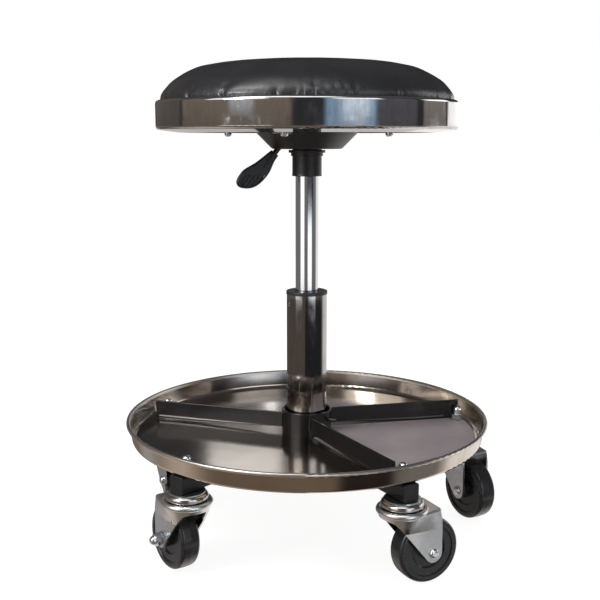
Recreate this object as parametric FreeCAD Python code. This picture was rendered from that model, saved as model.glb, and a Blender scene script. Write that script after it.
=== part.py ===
import FreeCAD
import Part
import math
import os

# Creeper seat: a round padded stool on a gas lift, over a five-castor base that carries a parts tray.
# Millimetres. The origin is on the floor under the column, +Z is up and the front of the seat faces -Y.
# Everything is drawn at rest, with the seat at the top of its travel.

# General fits and small gaps
running_fit = 0.08      # radial play of a part that turns or slides in another
seated_fit = 0.05       # radial play of a part that is pushed or screwed home
rest_gap = 0.3          # gap between parts that pass each other
weld_gap = 0.1          # gap left along a welded edge
overrun = 2.0           # how far a cutting shape runs past what it cuts
touching = 0.0005       # points closer than this are one point

# Base: five legs round a socket for the column
leg_count = 5
first_leg_angle = 13.0
leg_side = 20.0
leg_wall = 1.5
leg_corner = 2.5
leg_end_beyond_stem = 14.5
leg_underside = 100.5
hub_radius = 30.0
hub_drop = 32.0             # how far the socket hangs below the legs
plug_flange = 2.0
plug_depth = 9.0
plug_taper = 1.2
plug_fin_shares = [0.35, 0.65, 0.95]

# Tray
tray_sheet = 1.2
tray_base_radius = 217.5
stem_inset = 14.5           # from the edge of the tray's floor in to the castors' stems
stem_circle = tray_base_radius - stem_inset
tray_lean = 3.8             # how far the wall leans out
tray_height = 24.7
tray_corner = 5.2
rim_bead = 4.5
tray_hole_play = 0.6
stem_hole_play = 0.5
mat_thickness = 1.0
mat_margin = 1.6
mat_notch_margin = 1.4

# Tray divider: a ring round the column and three flat arms
divider_ring_radius = 31.0
divider_ring_wall = 2.8
divider_ring_height = 29.3
arm_thickness = 3.0
arm_height = 19.0
arm_lift = 6.0              # gap under the arms
arm_end_gap = 10.5          # from the edge of the tray's floor in to the arms' ends
arm_reach = tray_base_radius - arm_end_gap
arm_offsets = [10.0, 12.8, 10.0]
arm_angles = [13.0, 162.4, 299.0]
arm_sides = [1.0, 1.0, -1.0]
arm_reach_shares = [1.0, 0.985, 1.02]
foot_length = 20.0
clamp_screw_radius = 2.5
clamp_screw_reach = 13.0
clamp_screw_angle = -31.0

# Column, its bush and the gas lift
column_radius = 25.0
column_wall = 1.5
column_rise = 177.0         # how far the column stands above the legs
column_end_drop = 6.0       # how far the column's closed end stands below the socket
column_end_radius = 23.0
column_end_wall = 3.0
dimple_radius = 3.1
dimple_depth = 0.9
dimple_drop = 12.0
dimple_angle = 211.0
bush_flange_radius = 25.5
bush_flange_height = 4.0
bush_length = 78.0
bush_groove = 0.8
lift_radius = 14.0
lift_wall = 1.8
lift_overlap = 83.4         # length of the lift tube that stays in the column
lift_tip_rise = 4.0         # how far its tapered tip stands above the cone's floor
lift_taper_length = 36.0
lift_taper = 0.8            # how much the radius shrinks over the taper
lift_top_wall = 4.0
rod_radius = 5.0
rod_end_radius = 4.0
rod_end_drop = 6.0
guide_height = 10.0
piston_height = 13.0
piston_groove = 1.2
clip_thickness = 1.6
clip_radius = 8.0
bearing_radius = 11.0
bearing_washer = 2.0
ball_radius = 2.0

# Seat: a pressed plate with a taper socket under a round board, with foam, cover and a metal band
seat_radius = 180.0
band_sheet = 1.2
band_rise = 21.0            # how far the band stands above the board
band_below = 0.4            # and below it
band_top_corner = 4.0
band_bottom_corner = 3.5
band_lip = 6.0              # how far its upper edge is turned in
band_return = 28.0          # and its lower edge
band_lip_radius = seat_radius - band_lip
band_return_radius = seat_radius - band_return
band_return_drop = 3.6
board_underside = 497.2
board_thickness = 12.0
board_inset = 11.0          # the insets are measured in from the band's outside
board_radius = seat_radius - board_inset
board_corner = 1.5
plate_sheet = 2.0
plate_radius = 115.0
cone_depth = 21.2
cone_bottom_radius = 42.0
cone_slope_angle = 45.0
cone_corner = 5.0
socket_radius = 17.8
socket_mouth_radius = 18.2
socket_drop = 32.4          # how far it hangs below the cone
socket_ring_radius = 19.4
socket_ring_height = 4.0
socket_flange_radius = 22.2
socket_flange_height = 3.2
socket_flange_gap = 1.3
socket_rise = 5.0           # how far the socket stands above the cone's floor
screw_circle = 100.0
screw_count = 4
first_screw_angle = -14.5
screw_radius = 3.0
screw_head_radius = 4.7
screw_head_height = 5.2
screw_washer_radius = 7.0
screw_washer_thickness = 1.5
tee_barrel_radius = 4.2
tee_flange_radius = 9.0
tee_flange_thickness = 1.4
cover_thickness = 1.0
cushion_thickness = 67.8
cushion_inset = 6.0
cushion_neck_inset = 6.8
cushion_body_inset = 2.6
cushion_shoulder_inset = 69.0
shoulder_mid_inset = 29.0
cushion_radius = seat_radius - cushion_inset
cushion_neck_radius = seat_radius - cushion_neck_inset
cushion_edge_drop = 41.0        # the four drops are from the crown's top
cushion_shoulder_radius = seat_radius - cushion_shoulder_inset
cushion_shoulder_drop = 5.0
cushion_body_radius = seat_radius - cushion_body_inset
cushion_corner = 6.0
shoulder_mid_radius = seat_radius - shoulder_mid_inset
shoulder_mid_drop = 16.4
crown_mid_share = 0.5

# Height lever and valve button
lever_azimuth = 190.0
lever_rod_radius = 3.25
lever_pivot_out = 24.0
lever_pivot_rise = 14.0         # from the cone's floor
lever_fall_angle = 50.8
lever_bend_radius = 9.0
lever_tip_past_axis = 3.0
lever_tongue_width = 9.0
lever_tongue_thickness = 3.5
lever_tongue_length = 14.0
lever_boss_radius = 5.5
lever_boss_width = 8.0
pivot_pin_radius = 2.0
pivot_pin_overhang = 1.5
bracket_ear = 2.0
bracket_ear_half_length = 6.4
grip_start_out = 40.6
grip_length = 56.6
grip_width = 17.0
grip_thickness = 9.0
grip_collar_radius = 5.6
grip_collar_length = 6.0
grip_collar_taper = 17.0        # from the collar to where it runs into the faces
grip_edge = 2.2
grip_pocket_depth = 1.0
grip_pocket_slope_share = 0.1    # how much smaller its outline is at the bottom
grip_slot_depth = 2.8
grip_slot_width = 1.7
grip_slot_count = 4
grip_slot_pitch = 4.3
grip_slot_length = 15.0
grip_first_slot = 6.7           # sideways from the rod's line
grip_slot_start = 33.6          # along the rod, for a slot on its line
grip_slot_step_share = 0.79     # how much later a slot starts for its distance from that line
grip_bore_depth = 24.0
# Outline of the grip along its rod: shares of its length and of its width
grip_outline_shares = [
    (0.00, 0.33), (0.17, 0.46), (0.42, 0.68), (0.66, 0.97), (0.82, 0.98), (0.96, 0.83),
    (1.00, 0.60), (0.95, 0.12), (0.86, -0.22), (0.74, -0.44), (0.55, -0.56), (0.31, -0.52),
    (0.16, -0.38), (0.00, -0.32)]
grip_pocket_shares = [
    (0.45, -0.40), (0.57, 0.08), (0.74, 0.62), (0.86, 0.66), (0.95, 0.44), (0.90, 0.06),
    (0.80, -0.22), (0.64, -0.42), (0.50, -0.46)]
valve_radius = 2.5
valve_length = 18.6
valve_head_corner = 0.8
slot_width_play = 1.5
slot_inner = 27.0
slot_outer = 50.0

# Castors
wheel_radius = 38.0
wheel_width = 24.0
wheel_shoulder = 4.5
wheel_crown = 0.5
wheel_recess_radii = [30.0, 21.0]
wheel_recess_depths = [1.6, 3.4]
wheel_hub_radius = 11.0
wheel_trail = 29.1
fork_half_width = 20.3
fork_sheet = 2.5
fork_shoulder_drop = 4.0        # from the fork's top to where its sides start to draw in
fork_neck_drop = 22.0           # from the fork's top to where its sides are parallel
fork_front_radius = 27.0
fork_tail_corner = 4.0
fork_bend = 2.4
lug_radius = 10.5
lug_lean_angle = 39.5
skirt_drop = 7.4                # from the fork's top to the edge of its skirt
skirt_curve = 15.0
race_radius = 29.0
race_rise = 3.0                 # how far the ball race stands above the fork
race_height = 6.8
race_round = 3.2
race_inner_radius = 24.9
ball_row_radius = 17.0
ball_row_size = 5.2
cup_radius = 24.0
cup_height = 8.7
cup_in_race = 0.8               # how far the cup reaches down into the race
cup_round = 3.1
cup_shoulder_round = 4.2
cup_sheet = 2.4
cup_wall = 3.6
top_washer_radius = 20.7
top_washer_thickness = 1.6
kingpin_radius = 5.5
kingpin_head_radius = 9.0
kingpin_head_height = 2.6
stem_radius = 4.0
axle_radius = 4.0
axle_head_radius = 5.65
axle_head_height = 3.5
sleeve_radius = 6.0
hub_end_play = 0.4

# Fasteners
nut_across_flats = 13.0
nut_height = 7.0
nut_dome_radius = 5.3
nut_dome_height = 5.5
stem_nut_dome_height = 10.5
nut_wall = 2.0
stem_washer_radius = 8.25
stem_washer_thickness = 1.8

# Names of the legs and castors, counted from the first leg, and the way each wheel trails
leg_names = ["right", "rear", "left", "front_left", "front_right"]
trail_angles = [-60.1, 60.0, -63.0, 126.8, 26.1]

# Sizes that follow from the ones above
leg_top = leg_underside + leg_side
leg_end = stem_circle + leg_end_beyond_stem
tray_floor = leg_top + tray_sheet
tray_rim_top = leg_top + tray_height
hub_bottom = leg_underside - hub_drop
column_bottom = hub_bottom - column_end_drop
bearing_seat = column_bottom + column_end_wall
column_top = leg_top + column_rise
lift_bottom = column_top - lift_overlap
board_top = board_underside + board_thickness
band_top = board_top + band_rise
band_bottom = board_underside - band_below
cone_bottom = board_underside - plate_sheet - cone_depth
socket_bottom = cone_bottom - socket_drop
lift_top = cone_bottom + lift_tip_rise
lever_pivot_height = cone_bottom + lever_pivot_rise
cushion_top = board_top + cushion_thickness
cushion_edge_height = cushion_top - cushion_edge_drop
cushion_shoulder_height = cushion_top - cushion_shoulder_drop
shoulder_mid_height = cushion_top - shoulder_mid_drop
cup_top = leg_underside - top_washer_thickness
cup_bottom = cup_top - cup_height
race_top = cup_bottom + cup_in_race
fork_top = race_top - race_rise
fork_tail = wheel_trail + lug_radius
skirt_bottom = fork_top - skirt_drop
lift_bore = lift_radius - lift_wall
lift_tip_radius = lift_radius - lift_taper
cone_top_radius = cone_bottom_radius + cone_depth / math.tan(math.radians(cone_slope_angle))
fork_inner = fork_half_width - fork_sheet
kingpin_bore = kingpin_radius + running_fit
sleeve_bore = axle_radius + seated_fit
lever_direction = math.radians(lever_fall_angle)


def vec(x, y, z):
    return FreeCAD.Vector(x, y, z)


up = vec(0, 0, 1)
centre = vec(0, 0, 0)


def corner_arc(before, corner, after, radius):
    """Start, middle and end of the arc that rounds a corner of an outline, tangent to both its lines."""
    ax = before[0] - corner[0]
    ay = before[1] - corner[1]
    bx = after[0] - corner[0]
    by = after[1] - corner[1]
    a_length = math.hypot(ax, ay)
    b_length = math.hypot(bx, by)
    ax, ay = ax / a_length, ay / a_length
    bx, by = bx / b_length, by / b_length
    half = math.acos(max(-1, min(1, ax * bx + ay * by))) / 2
    reach = radius / math.tan(half)
    middle = radius / math.sin(half) - radius
    cx = ax + bx
    cy = ay + by
    c_length = math.hypot(cx, cy)
    start = (corner[0] + ax * reach, corner[1] + ay * reach)
    end = (corner[0] + bx * reach, corner[1] + by * reach)
    mid = (corner[0] + cx / c_length * middle, corner[1] + cy / c_length * middle)
    return start, mid, end


def rounded_wire(corners, place):
    """Closed wire through corners (a, b, radius), each rounded by its radius; place puts (a, b) in space."""
    arcs = []
    for i, (a, b, radius) in enumerate(corners):
        after = corners[(i + 1) % len(corners)]
        if radius > 0:
            arcs.append(corner_arc(corners[i - 1], (a, b), after, radius))
        else:
            arcs.append(((a, b), None, (a, b)))
    edges = []
    for i, (start, mid, end) in enumerate(arcs):
        last = place(*arcs[i - 1][2])
        first = place(*start)
        if last.distanceToPoint(first) > touching:
            edges.append(Part.LineSegment(last, first).toShape())
        if mid:
            edges.append(Part.Arc(first, place(*mid), place(*end)).toShape())
    return Part.Wire(Part.__sortEdges__(edges))


def turned(corners):
    """Solid turned about the Z axis from an outline of (radius, height, corner radius)."""
    outline = rounded_wire(corners, lambda r, z: vec(r, 0, z))
    return Part.Face(outline).revolve(centre, up, 360)


def plate(corners, low, high):
    """Flat solid from a plan outline of (x, y, corner radius), between two heights."""
    outline = rounded_wire(corners, lambda x, y: vec(x, y, low))
    return Part.Face(outline).extrude(vec(0, 0, high - low))


def block(x_low, x_high, y_low, y_high, low, high):
    return Part.makeBox(x_high - x_low, y_high - y_low, high - low, vec(x_low, y_low, low))


def rod(radius, low, high):
    return Part.makeCylinder(radius, high - low, vec(0, 0, low))


def ring(outer, inner, low, high):
    return rod(outer, low, high).cut(rod(inner, low - overrun, high + overrun))


def spun(shape, degrees):
    return shape.rotated(centre, up, degrees)


def around(shape, count, first_angle):
    """Copies of a shape, evenly spaced about the column."""
    return [spun(shape, first_angle + 360 * i / count) for i in range(count)]


def moved_out(shape, distance):
    return shape.translated(vec(distance, 0, 0))


def across(shape):
    """Turns what was built along Z so that it lies along Y, with its low end at -Y."""
    return shape.rotated(centre, vec(1, 0, 0), -90)


def save(shape, name):
    shape.exportStep("parts/" + name + ".step")


# Base frame
def leg_tubes():
    half = leg_side / 2
    bore = half - leg_wall
    low = leg_underside
    section = [(-half, low, leg_corner), (half, low, leg_corner),
               (half, leg_top, leg_corner), (-half, leg_top, leg_corner)]
    hollow = [(-bore, low + leg_wall, leg_corner - leg_wall), (bore, low + leg_wall, leg_corner - leg_wall),
              (bore, leg_top - leg_wall, leg_corner - leg_wall),
              (-bore, leg_top - leg_wall, leg_corner - leg_wall)]
    outside = Part.Face(rounded_wire(section, lambda y, z: vec(0, y, z)))
    inside = Part.Face(rounded_wire(hollow, lambda y, z: vec(0, y, z)))
    tube = outside.cut(inside).extrude(vec(leg_end, 0, 0))
    tube = tube.cut(rod(hub_radius + weld_gap, hub_bottom, leg_top + overrun))
    stem_hole = moved_out(rod(stem_radius + stem_hole_play, low - overrun, leg_top + overrun), stem_circle)
    return around(tube.cut(stem_hole), leg_count, first_leg_angle)


def leg_plugs():
    """Plastic plugs in the legs' open ends, each with a flange as large as the tube."""
    half = leg_side / 2
    bore = half - leg_wall - seated_fit
    mid = leg_underside + half
    cap = [(-half, mid - half, leg_corner), (half, mid - half, leg_corner),
           (half, mid + half, leg_corner), (-half, mid + half, leg_corner)]
    flange = Part.Face(rounded_wire(cap, lambda y, z: vec(leg_end, y, z))).extrude(vec(plug_flange, 0, 0))
    rim = [edge for edge in flange.Edges if edge.BoundBox.XMin > leg_end + plug_flange - touching]
    flange = flange.makeFillet(plug_flange / 2, rim)
    barrel = block(leg_end - plug_depth, leg_end, -bore + plug_taper, bore - plug_taper,
                   mid - bore + plug_taper, mid + bore - plug_taper)
    fins = []
    for share in plug_fin_shares:
        start = leg_end - plug_depth * share
        outline = [(-bore, mid - bore, leg_corner), (bore, mid - bore, leg_corner),
                   (bore, mid + bore, leg_corner), (-bore, mid + bore, leg_corner)]
        fin = Part.Face(rounded_wire(outline, lambda y, z: vec(start, y, z)))
        fins.append(fin.extrude(vec(plug_taper, 0, 0)))
    return around(flange.fuse(barrel).fuse(fins).removeSplitter(), leg_count, first_leg_angle)


def column_outline():
    """Outside and inside radii of the column at the socket's mouth and at its closed end."""
    return column_radius, column_end_radius, column_radius - column_wall, column_end_radius - column_wall


def hub_socket():
    wide, narrow, _, _ = column_outline()
    return turned([(narrow + seated_fit, hub_bottom, 0), (hub_radius, hub_bottom, leg_wall),
                   (hub_radius, leg_top, 0), (wide + seated_fit, leg_top, 0)])


def column_tube():
    wide, narrow, bore, end_bore = column_outline()
    tube = turned([(rod_end_radius + running_fit, column_bottom, 0), (narrow, column_bottom, column_wall),
                   (narrow, hub_bottom, 0), (wide, leg_top, 0), (wide, column_top, 0),
                   (bore, column_top, 0),
                   (bore, leg_top, 0), (end_bore, bearing_seat, 0),
                   (rod_end_radius + running_fit, bearing_seat, 0)])
    punch = (dimple_radius ** 2 + dimple_depth ** 2) / (2 * dimple_depth)
    dimple = Part.makeSphere(punch, vec(column_radius - dimple_depth + punch, 0, column_top - dimple_drop))
    return tube.cut(spun(dimple, dimple_angle))


def column_bush():
    body = column_radius - column_wall - seated_fit
    bore = lift_radius + running_fit
    low = column_top - bush_length
    groove = column_top - bush_length / 2
    return turned([(bore, low, 0), (body - bush_groove, low, 0), (body, low + bush_groove, 0),
                   (body, groove - bush_groove, 0), (body - bush_groove, groove, 0),
                   (body, groove + bush_groove, 0), (body, column_top, 0),
                   (bush_flange_radius, column_top, 0),
                   (bush_flange_radius, column_top + bush_flange_height, bush_groove * 1.5),
                   (bore, column_top + bush_flange_height, 0)])


# Tray and divider
def tray():
    wall_top = tray_base_radius + tray_lean
    under_bead = tray_rim_top - rim_bead
    hole = column_radius + tray_hole_play
    bead = rim_bead / 2 - weld_gap
    pan = turned([(hole, leg_top, 0), (tray_base_radius, leg_top, tray_corner),
                  (wall_top, under_bead, tray_sheet / 2),
                  (wall_top + rim_bead - tray_sheet, under_bead, bead),
                  (wall_top + rim_bead - tray_sheet, tray_rim_top, bead),
                  (wall_top - tray_sheet, tray_rim_top, bead),
                  (tray_base_radius - tray_sheet, tray_floor, tray_corner - tray_sheet),
                  (hole, tray_floor, 0)])
    hole_tool = moved_out(rod(stem_radius + stem_hole_play, leg_top - overrun, tray_floor + overrun),
                          stem_circle)
    return pan.cut(around(hole_tool, leg_count, first_leg_angle))


def arm_line(index, shift):
    """Start and direction of an arm's centre line, or of one beside it. It passes beside the column."""
    turn = math.radians(arm_angles[index])
    side = (arm_offsets[index] - shift) * arm_sides[index]
    direction = vec(math.cos(turn), math.sin(turn), 0)
    return vec(-math.sin(turn) * side, math.cos(turn) * side, 0), direction


def tray_mat():
    """Thin mat in the sector between the right and front-right arms, cut out round two stem washers."""
    reach = tray_base_radius - tray_corner - mat_margin
    mat = ring(reach, divider_ring_radius + mat_margin, tray_floor, tray_floor + mat_thickness)
    clear = arm_thickness / 2 + rest_gap
    right, right_way = arm_line(0, clear)
    front, front_way = arm_line(2, clear)
    span = (front.x - right.x) * front_way.y - (front.y - right.y) * front_way.x
    span /= right_way.x * front_way.y - right_way.y * front_way.x
    apex = right + right_way * span
    far = tray_base_radius * 2
    wedge = [apex, apex + right_way * far, apex + (right_way + front_way) * far, apex + front_way * far]
    sector = plate([(p.x, p.y, 0) for p in wedge], tray_floor - overrun,
                   tray_floor + mat_thickness + overrun)
    half = stem_washer_radius + mat_notch_margin
    low = tray_floor - overrun
    high = tray_floor + mat_thickness + overrun
    notch = moved_out(rod(half, low, high), stem_circle)
    notch = notch.fuse(block(stem_circle, tray_base_radius, -half, half, low, high))
    return mat.common(sector).cut(around(notch, leg_count, first_leg_angle))


def divider_arm(index):
    """Flat bar on edge, from the ring outwards, with its ends square and its top edges eased."""
    half = arm_thickness / 2
    low = tray_floor + arm_lift
    offset = arm_offsets[index]
    start = math.sqrt((divider_ring_radius - divider_ring_wall / 2) ** 2 - offset ** 2)
    end = math.sqrt((arm_reach * arm_reach_shares[index]) ** 2 - offset ** 2)
    bar = block(start, end, offset - half, offset + half, low, low + arm_height)
    edges = [e for e in bar.Edges if e.BoundBox.ZLength < touching and e.BoundBox.XLength > arm_height]
    bar = bar.makeFillet(arm_thickness / 5, edges)
    if index == 0:
        foot = block(end - foot_length, end, offset - half, offset + half, tray_floor, low + arm_height / 2)
        bar = bar.fuse(foot)
    if arm_sides[index] < 0:
        bar = bar.mirror(centre, vec(0, 1, 0))
    return spun(bar, arm_angles[index])


def tray_divider():
    top = tray_floor + divider_ring_height
    bore = divider_ring_radius - divider_ring_wall
    collar = turned([(bore, tray_floor, 0), (divider_ring_radius, tray_floor, 0),
                     (divider_ring_radius, top, divider_ring_wall / 3), (bore, top, divider_ring_wall / 3)])
    arms = [divider_arm(i) for i in range(len(arm_angles))]
    arms = [arm.cut(rod(bore + divider_ring_wall / 2, tray_floor - overrun, top + overrun)) for arm in arms]
    height = tray_floor + arm_lift + arm_height * 0.7
    screw = Part.makeCylinder(clamp_screw_radius, clamp_screw_reach,
                              vec(bore + divider_ring_wall / 2, 0, height),
                              vec(1, 0, 0))
    return collar.fuse(arms + [spun(screw, clamp_screw_angle)]).removeSplitter()


# Fasteners
def acorn_nut(dome_height, bore):
    """Hexagon nut with a closed dome, standing on z = 0."""
    corner = nut_across_flats / math.sqrt(3)
    points = [vec(corner * math.cos(math.radians(60 * i)), corner * math.sin(math.radians(60 * i)), 0)
              for i in range(7)]
    hexagon = Part.Face(Part.makePolygon(points)).extrude(vec(0, 0, nut_height))
    chamfer = (corner - nut_across_flats / 2) * 1.4
    hexagon = hexagon.common(turned([(0, 0, 0), (corner - chamfer, 0, 0), (corner, chamfer / 2, 0),
                                     (corner, nut_height - chamfer / 2, 0),
                                     (corner - chamfer, nut_height, 0), (0, nut_height, 0)]))
    top = nut_height + dome_height
    dome = turned([(0, nut_height / 2, 0), (nut_dome_radius, nut_height / 2, 0),
                   (nut_dome_radius, top, nut_dome_radius * 0.92), (0, top, 0)])
    return hexagon.fuse(dome).cut(rod(bore, -overrun, top - nut_wall))


def stem_nuts():
    nut = acorn_nut(stem_nut_dome_height, stem_radius + seated_fit)
    nut = nut.translated(vec(stem_circle, 0, tray_floor + stem_washer_thickness))
    return around(nut, leg_count, first_leg_angle)


def stem_washers():
    washer = ring(stem_washer_radius, stem_radius + stem_hole_play, tray_floor,
                  tray_floor + stem_washer_thickness)
    return around(moved_out(washer, stem_circle), leg_count, first_leg_angle)


# Castors, each built with its stem on the Z axis and its wheel trailing towards +X
def castor_stem():
    """Kingpin with a head under the fork, and the threaded stem that goes up through leg and tray."""
    head_top = fork_top - fork_sheet - rest_gap
    top = tray_floor + stem_washer_thickness + nut_height + stem_nut_dome_height - nut_wall - rest_gap
    return turned([(0, head_top - kingpin_head_height, 0),
                   (kingpin_head_radius, head_top - kingpin_head_height, kingpin_head_height * 0.6),
                   (kingpin_head_radius, head_top, 0), (kingpin_radius, head_top, 0),
                   (kingpin_radius, cup_top, 0),
                   (stem_radius, cup_top, 0), (stem_radius, top, stem_radius / 5), (0, top, 0)])


def castor_cup():
    """Upper bearing cup: a pressed ring with a rolled outer edge and a hollow for the balls."""
    bore = kingpin_radius + seated_fit
    under = cup_top - cup_sheet
    inner = cup_radius - cup_wall
    return turned([(bore, under, 0), (inner, under, cup_sheet / 2), (inner, cup_bottom, 0),
                   (cup_radius, cup_bottom, cup_round), (cup_radius, cup_top, cup_shoulder_round),
                   (bore, cup_top, 0)])


def castor_washer():
    return ring(top_washer_radius, stem_radius + seated_fit, cup_top, leg_underside)


def castor_balls():
    """Row of balls, drawn as one ring as wide as a ball."""
    low = fork_top + running_fit
    half = ball_row_size / 2
    size = cup_top - cup_sheet - running_fit - low
    bevel = half * 0.6
    return turned([(ball_row_radius - half + bevel, low, 0), (ball_row_radius + half - bevel, low, 0),
                   (ball_row_radius + half, low + bevel, 0),
                   (ball_row_radius + half, low + size - bevel, 0),
                   (ball_row_radius + half - bevel, low + size, 0),
                   (ball_row_radius - half + bevel, low + size, 0),
                   (ball_row_radius - half, low + size - bevel, 0),
                   (ball_row_radius - half, low + bevel, 0)])


def fork_section(front, half_width, tail, corner, height):
    """Plan outline of the fork: an arc round the stem, drawn out to a squared tail with rounded corners."""
    tail_start = tail - corner
    lean = math.atan2(front - half_width, tail_start)
    touch_x = front * math.sin(lean)
    touch_y = front * math.cos(lean)
    diagonal = math.sqrt(0.5)
    points = [(touch_x, touch_y), (-front, 0), (touch_x, -touch_y), (tail_start, -half_width),
              (tail_start + corner * diagonal, -half_width + corner - corner * diagonal),
              (tail, -half_width + corner), (tail, half_width - corner),
              (tail_start + corner * diagonal, half_width - corner + corner * diagonal),
              (tail_start, half_width)]
    p = [vec(x, y, height) for x, y in points]
    edges = [Part.Arc(p[0], p[1], p[2]).toShape(), Part.LineSegment(p[2], p[3]).toShape(),
             Part.Arc(p[3], p[4], p[5]).toShape(), Part.LineSegment(p[5], p[6]).toShape(),
             Part.Arc(p[6], p[7], p[8]).toShape(), Part.LineSegment(p[8], p[0]).toShape()]
    return Part.Wire(edges)


def fork_body(inset, tail):
    """Outside of the fork, or its inside with an inset: a round top that draws in to two parallel cheeks."""
    top = fork_top - inset
    shoulder = fork_top - fork_shoulder_drop
    neck = fork_top - fork_neck_drop
    bottom = wheel_radius - lug_radius - overrun
    half = fork_half_width - inset
    corner = fork_tail_corner - inset
    wide = fork_section(fork_front_radius - inset, half, tail, corner, shoulder)
    narrow = fork_section(half, half, tail + corner, corner, neck)
    crown = Part.Face(wide).extrude(vec(0, 0, top - shoulder))
    if inset == 0:
        rim = [e for e in crown.Edges if e.BoundBox.ZMin > top - touching]
        crown = crown.makeFillet(fork_bend, rim)
    neck_piece = Part.makeLoft([narrow, wide], True)
    cheeks = Part.Face(narrow).extrude(vec(0, 0, bottom - neck))
    return crown.fuse([neck_piece, cheeks]).removeSplitter()


def fork_side():
    """Side outline of the cheeks: a round lug at the axle, a leaning front edge and a level skirt."""
    drop = lug_radius / math.tan(math.radians(lug_lean_angle) / 2)
    tip = wheel_radius - drop
    lean = (skirt_bottom - tip) * math.tan(math.radians(lug_lean_angle))
    far = race_radius + overrun
    top = race_top + overrun
    outline = [(-far, skirt_bottom, 0), (fork_tail - lean, skirt_bottom, skirt_curve),
               (fork_tail, tip, lug_radius), (fork_tail, skirt_bottom, 0),
               (fork_tail + overrun, skirt_bottom, 0),
               (fork_tail + overrun, top, 0), (-far, top, 0)]
    face = Part.Face(rounded_wire(outline, lambda x, z: vec(x, -far, z)))
    return face.extrude(vec(0, far * 2, 0))


def castor_yoke():
    """Pressed fork with its ball race: the shell, cut to its side outline, under a rolled ring."""
    inner = fork_body(fork_sheet, fork_tail + fork_tail_corner * 2)
    shell = fork_body(0, fork_tail).cut(inner).common(fork_side())
    race_low = race_top - race_height
    race = turned([(race_inner_radius - race_round / 2, race_low, 0), (race_radius, race_low, race_round),
                   (race_radius, race_top, race_round), (race_inner_radius, race_top, race_round / 4),
                   (race_inner_radius - race_round / 2, fork_top, 0)])
    race = race.cut(fork_body(fork_sheet, fork_tail + fork_tail_corner * 2))
    yoke = shell.fuse(race)
    yoke = yoke.cut(rod(kingpin_bore, fork_top - fork_sheet - overrun, race_top + overrun))
    hole = across(rod(axle_radius + seated_fit, -fork_half_width - overrun, fork_half_width + overrun))
    return yoke.cut(hole.translated(vec(wheel_trail, 0, wheel_radius)))


def at_axle(shape):
    """Puts a part that was turned about Z on the castor's axle."""
    return across(shape).translated(vec(wheel_trail, 0, wheel_radius))


def castor_wheel():
    """Hard wheel with a crowned tread, a rounded shoulder, two stepped recesses and a hub."""
    half = wheel_width / 2
    hub = fork_inner - hub_end_play
    bore = sleeve_radius + running_fit
    edge = wheel_radius - wheel_crown
    steps = []
    for radius, depth in zip(wheel_recess_radii, wheel_recess_depths):
        previous = steps[-1][1] if steps else half
        steps.append((radius, previous, 0))
        steps.append((radius - depth / 2, half - depth, 0))
    one_side = [(edge, half, wheel_shoulder)] + steps + [
        (wheel_hub_radius, half - wheel_recess_depths[-1], 0), (wheel_hub_radius, hub, wheel_crown * 2),
        (bore, hub, 0)]
    other_side = [(r, -w, c) for r, w, c in reversed(one_side)]
    return at_axle(turned([(wheel_radius, 0, 0)] + one_side + other_side))


def hub_sleeve():
    return at_axle(ring(sleeve_radius, sleeve_bore, -fork_inner, fork_inner))


def axle_bolt():
    """Bolt with a domed head outside one cheek; its shank ends inside the nut at the other."""
    head = fork_half_width + axle_head_height
    tip = fork_half_width + nut_height + nut_dome_height - nut_wall - rest_gap
    return at_axle(turned([(0, -head, 0), (axle_head_radius, -head, axle_head_height * 0.9),
                           (axle_head_radius, -fork_half_width, 0), (axle_radius, -fork_half_width, 0),
                           (axle_radius, tip, axle_radius / 5), (0, tip, 0)]))


def axle_nut():
    nut = acorn_nut(nut_dome_height, sleeve_bore).translated(vec(0, 0, fork_half_width))
    return at_axle(nut)


def on_leg(shape, index):
    """Turns a castor's part the way its wheel trails and sets it under its leg."""
    angle = math.radians(first_leg_angle + 360 * index / leg_count)
    place = vec(stem_circle * math.cos(angle), stem_circle * math.sin(angle), 0)
    return spun(shape, trail_angles[index]).translated(place)


# Gas lift, below the seat
def piston_rod():
    shoulder = bearing_seat + ball_radius * 2 + bearing_washer + running_fit * 2
    low = column_bottom - rod_end_drop
    top = lift_bottom + guide_height + rest_gap + piston_height
    pin = rod_end_radius - running_fit
    clip_low = column_bottom - running_fit - clip_thickness
    return turned([(0, low, 0), (pin, low, pin / 4), (pin, clip_low, 0), (pin * 0.8, clip_low, 0),
                   (pin * 0.8, clip_low + clip_thickness, 0), (pin, clip_low + clip_thickness, 0),
                   (pin, shoulder, 0), (rod_radius, shoulder, 0), (rod_radius, top, rod_radius / 5),
                   (0, top, 0)])


def piston_head():
    low = lift_bottom + guide_height + rest_gap
    top = low + piston_height
    edge = lift_bore - running_fit
    mid = low + piston_height / 2
    return turned([(rod_radius + seated_fit, low, 0), (edge, low, 0), (edge, mid - piston_groove, 0),
                   (edge - piston_groove, mid - piston_groove, 0),
                   (edge - piston_groove, mid + piston_groove, 0),
                   (edge, mid + piston_groove, 0), (edge, top, 0), (rod_radius + seated_fit, top, 0)])


def thrust_bearing():
    """Row of balls, drawn as one ring, under the washer that the rod's shoulder rests on."""
    low = bearing_seat + running_fit
    row = bearing_radius - ball_radius * 1.5
    bevel = ball_radius * 0.6
    high = low + ball_radius * 2
    balls = turned([(row - ball_radius + bevel, low, 0), (row + ball_radius - bevel, low, 0),
                    (row + ball_radius, low + bevel, 0), (row + ball_radius, high - bevel, 0),
                    (row + ball_radius - bevel, high, 0), (row - ball_radius + bevel, high, 0),
                    (row - ball_radius, high - bevel, 0), (row - ball_radius, low + bevel, 0)])
    washer = ring(bearing_radius, rod_end_radius + running_fit, high, high + bearing_washer)
    return [balls, washer]


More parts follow.
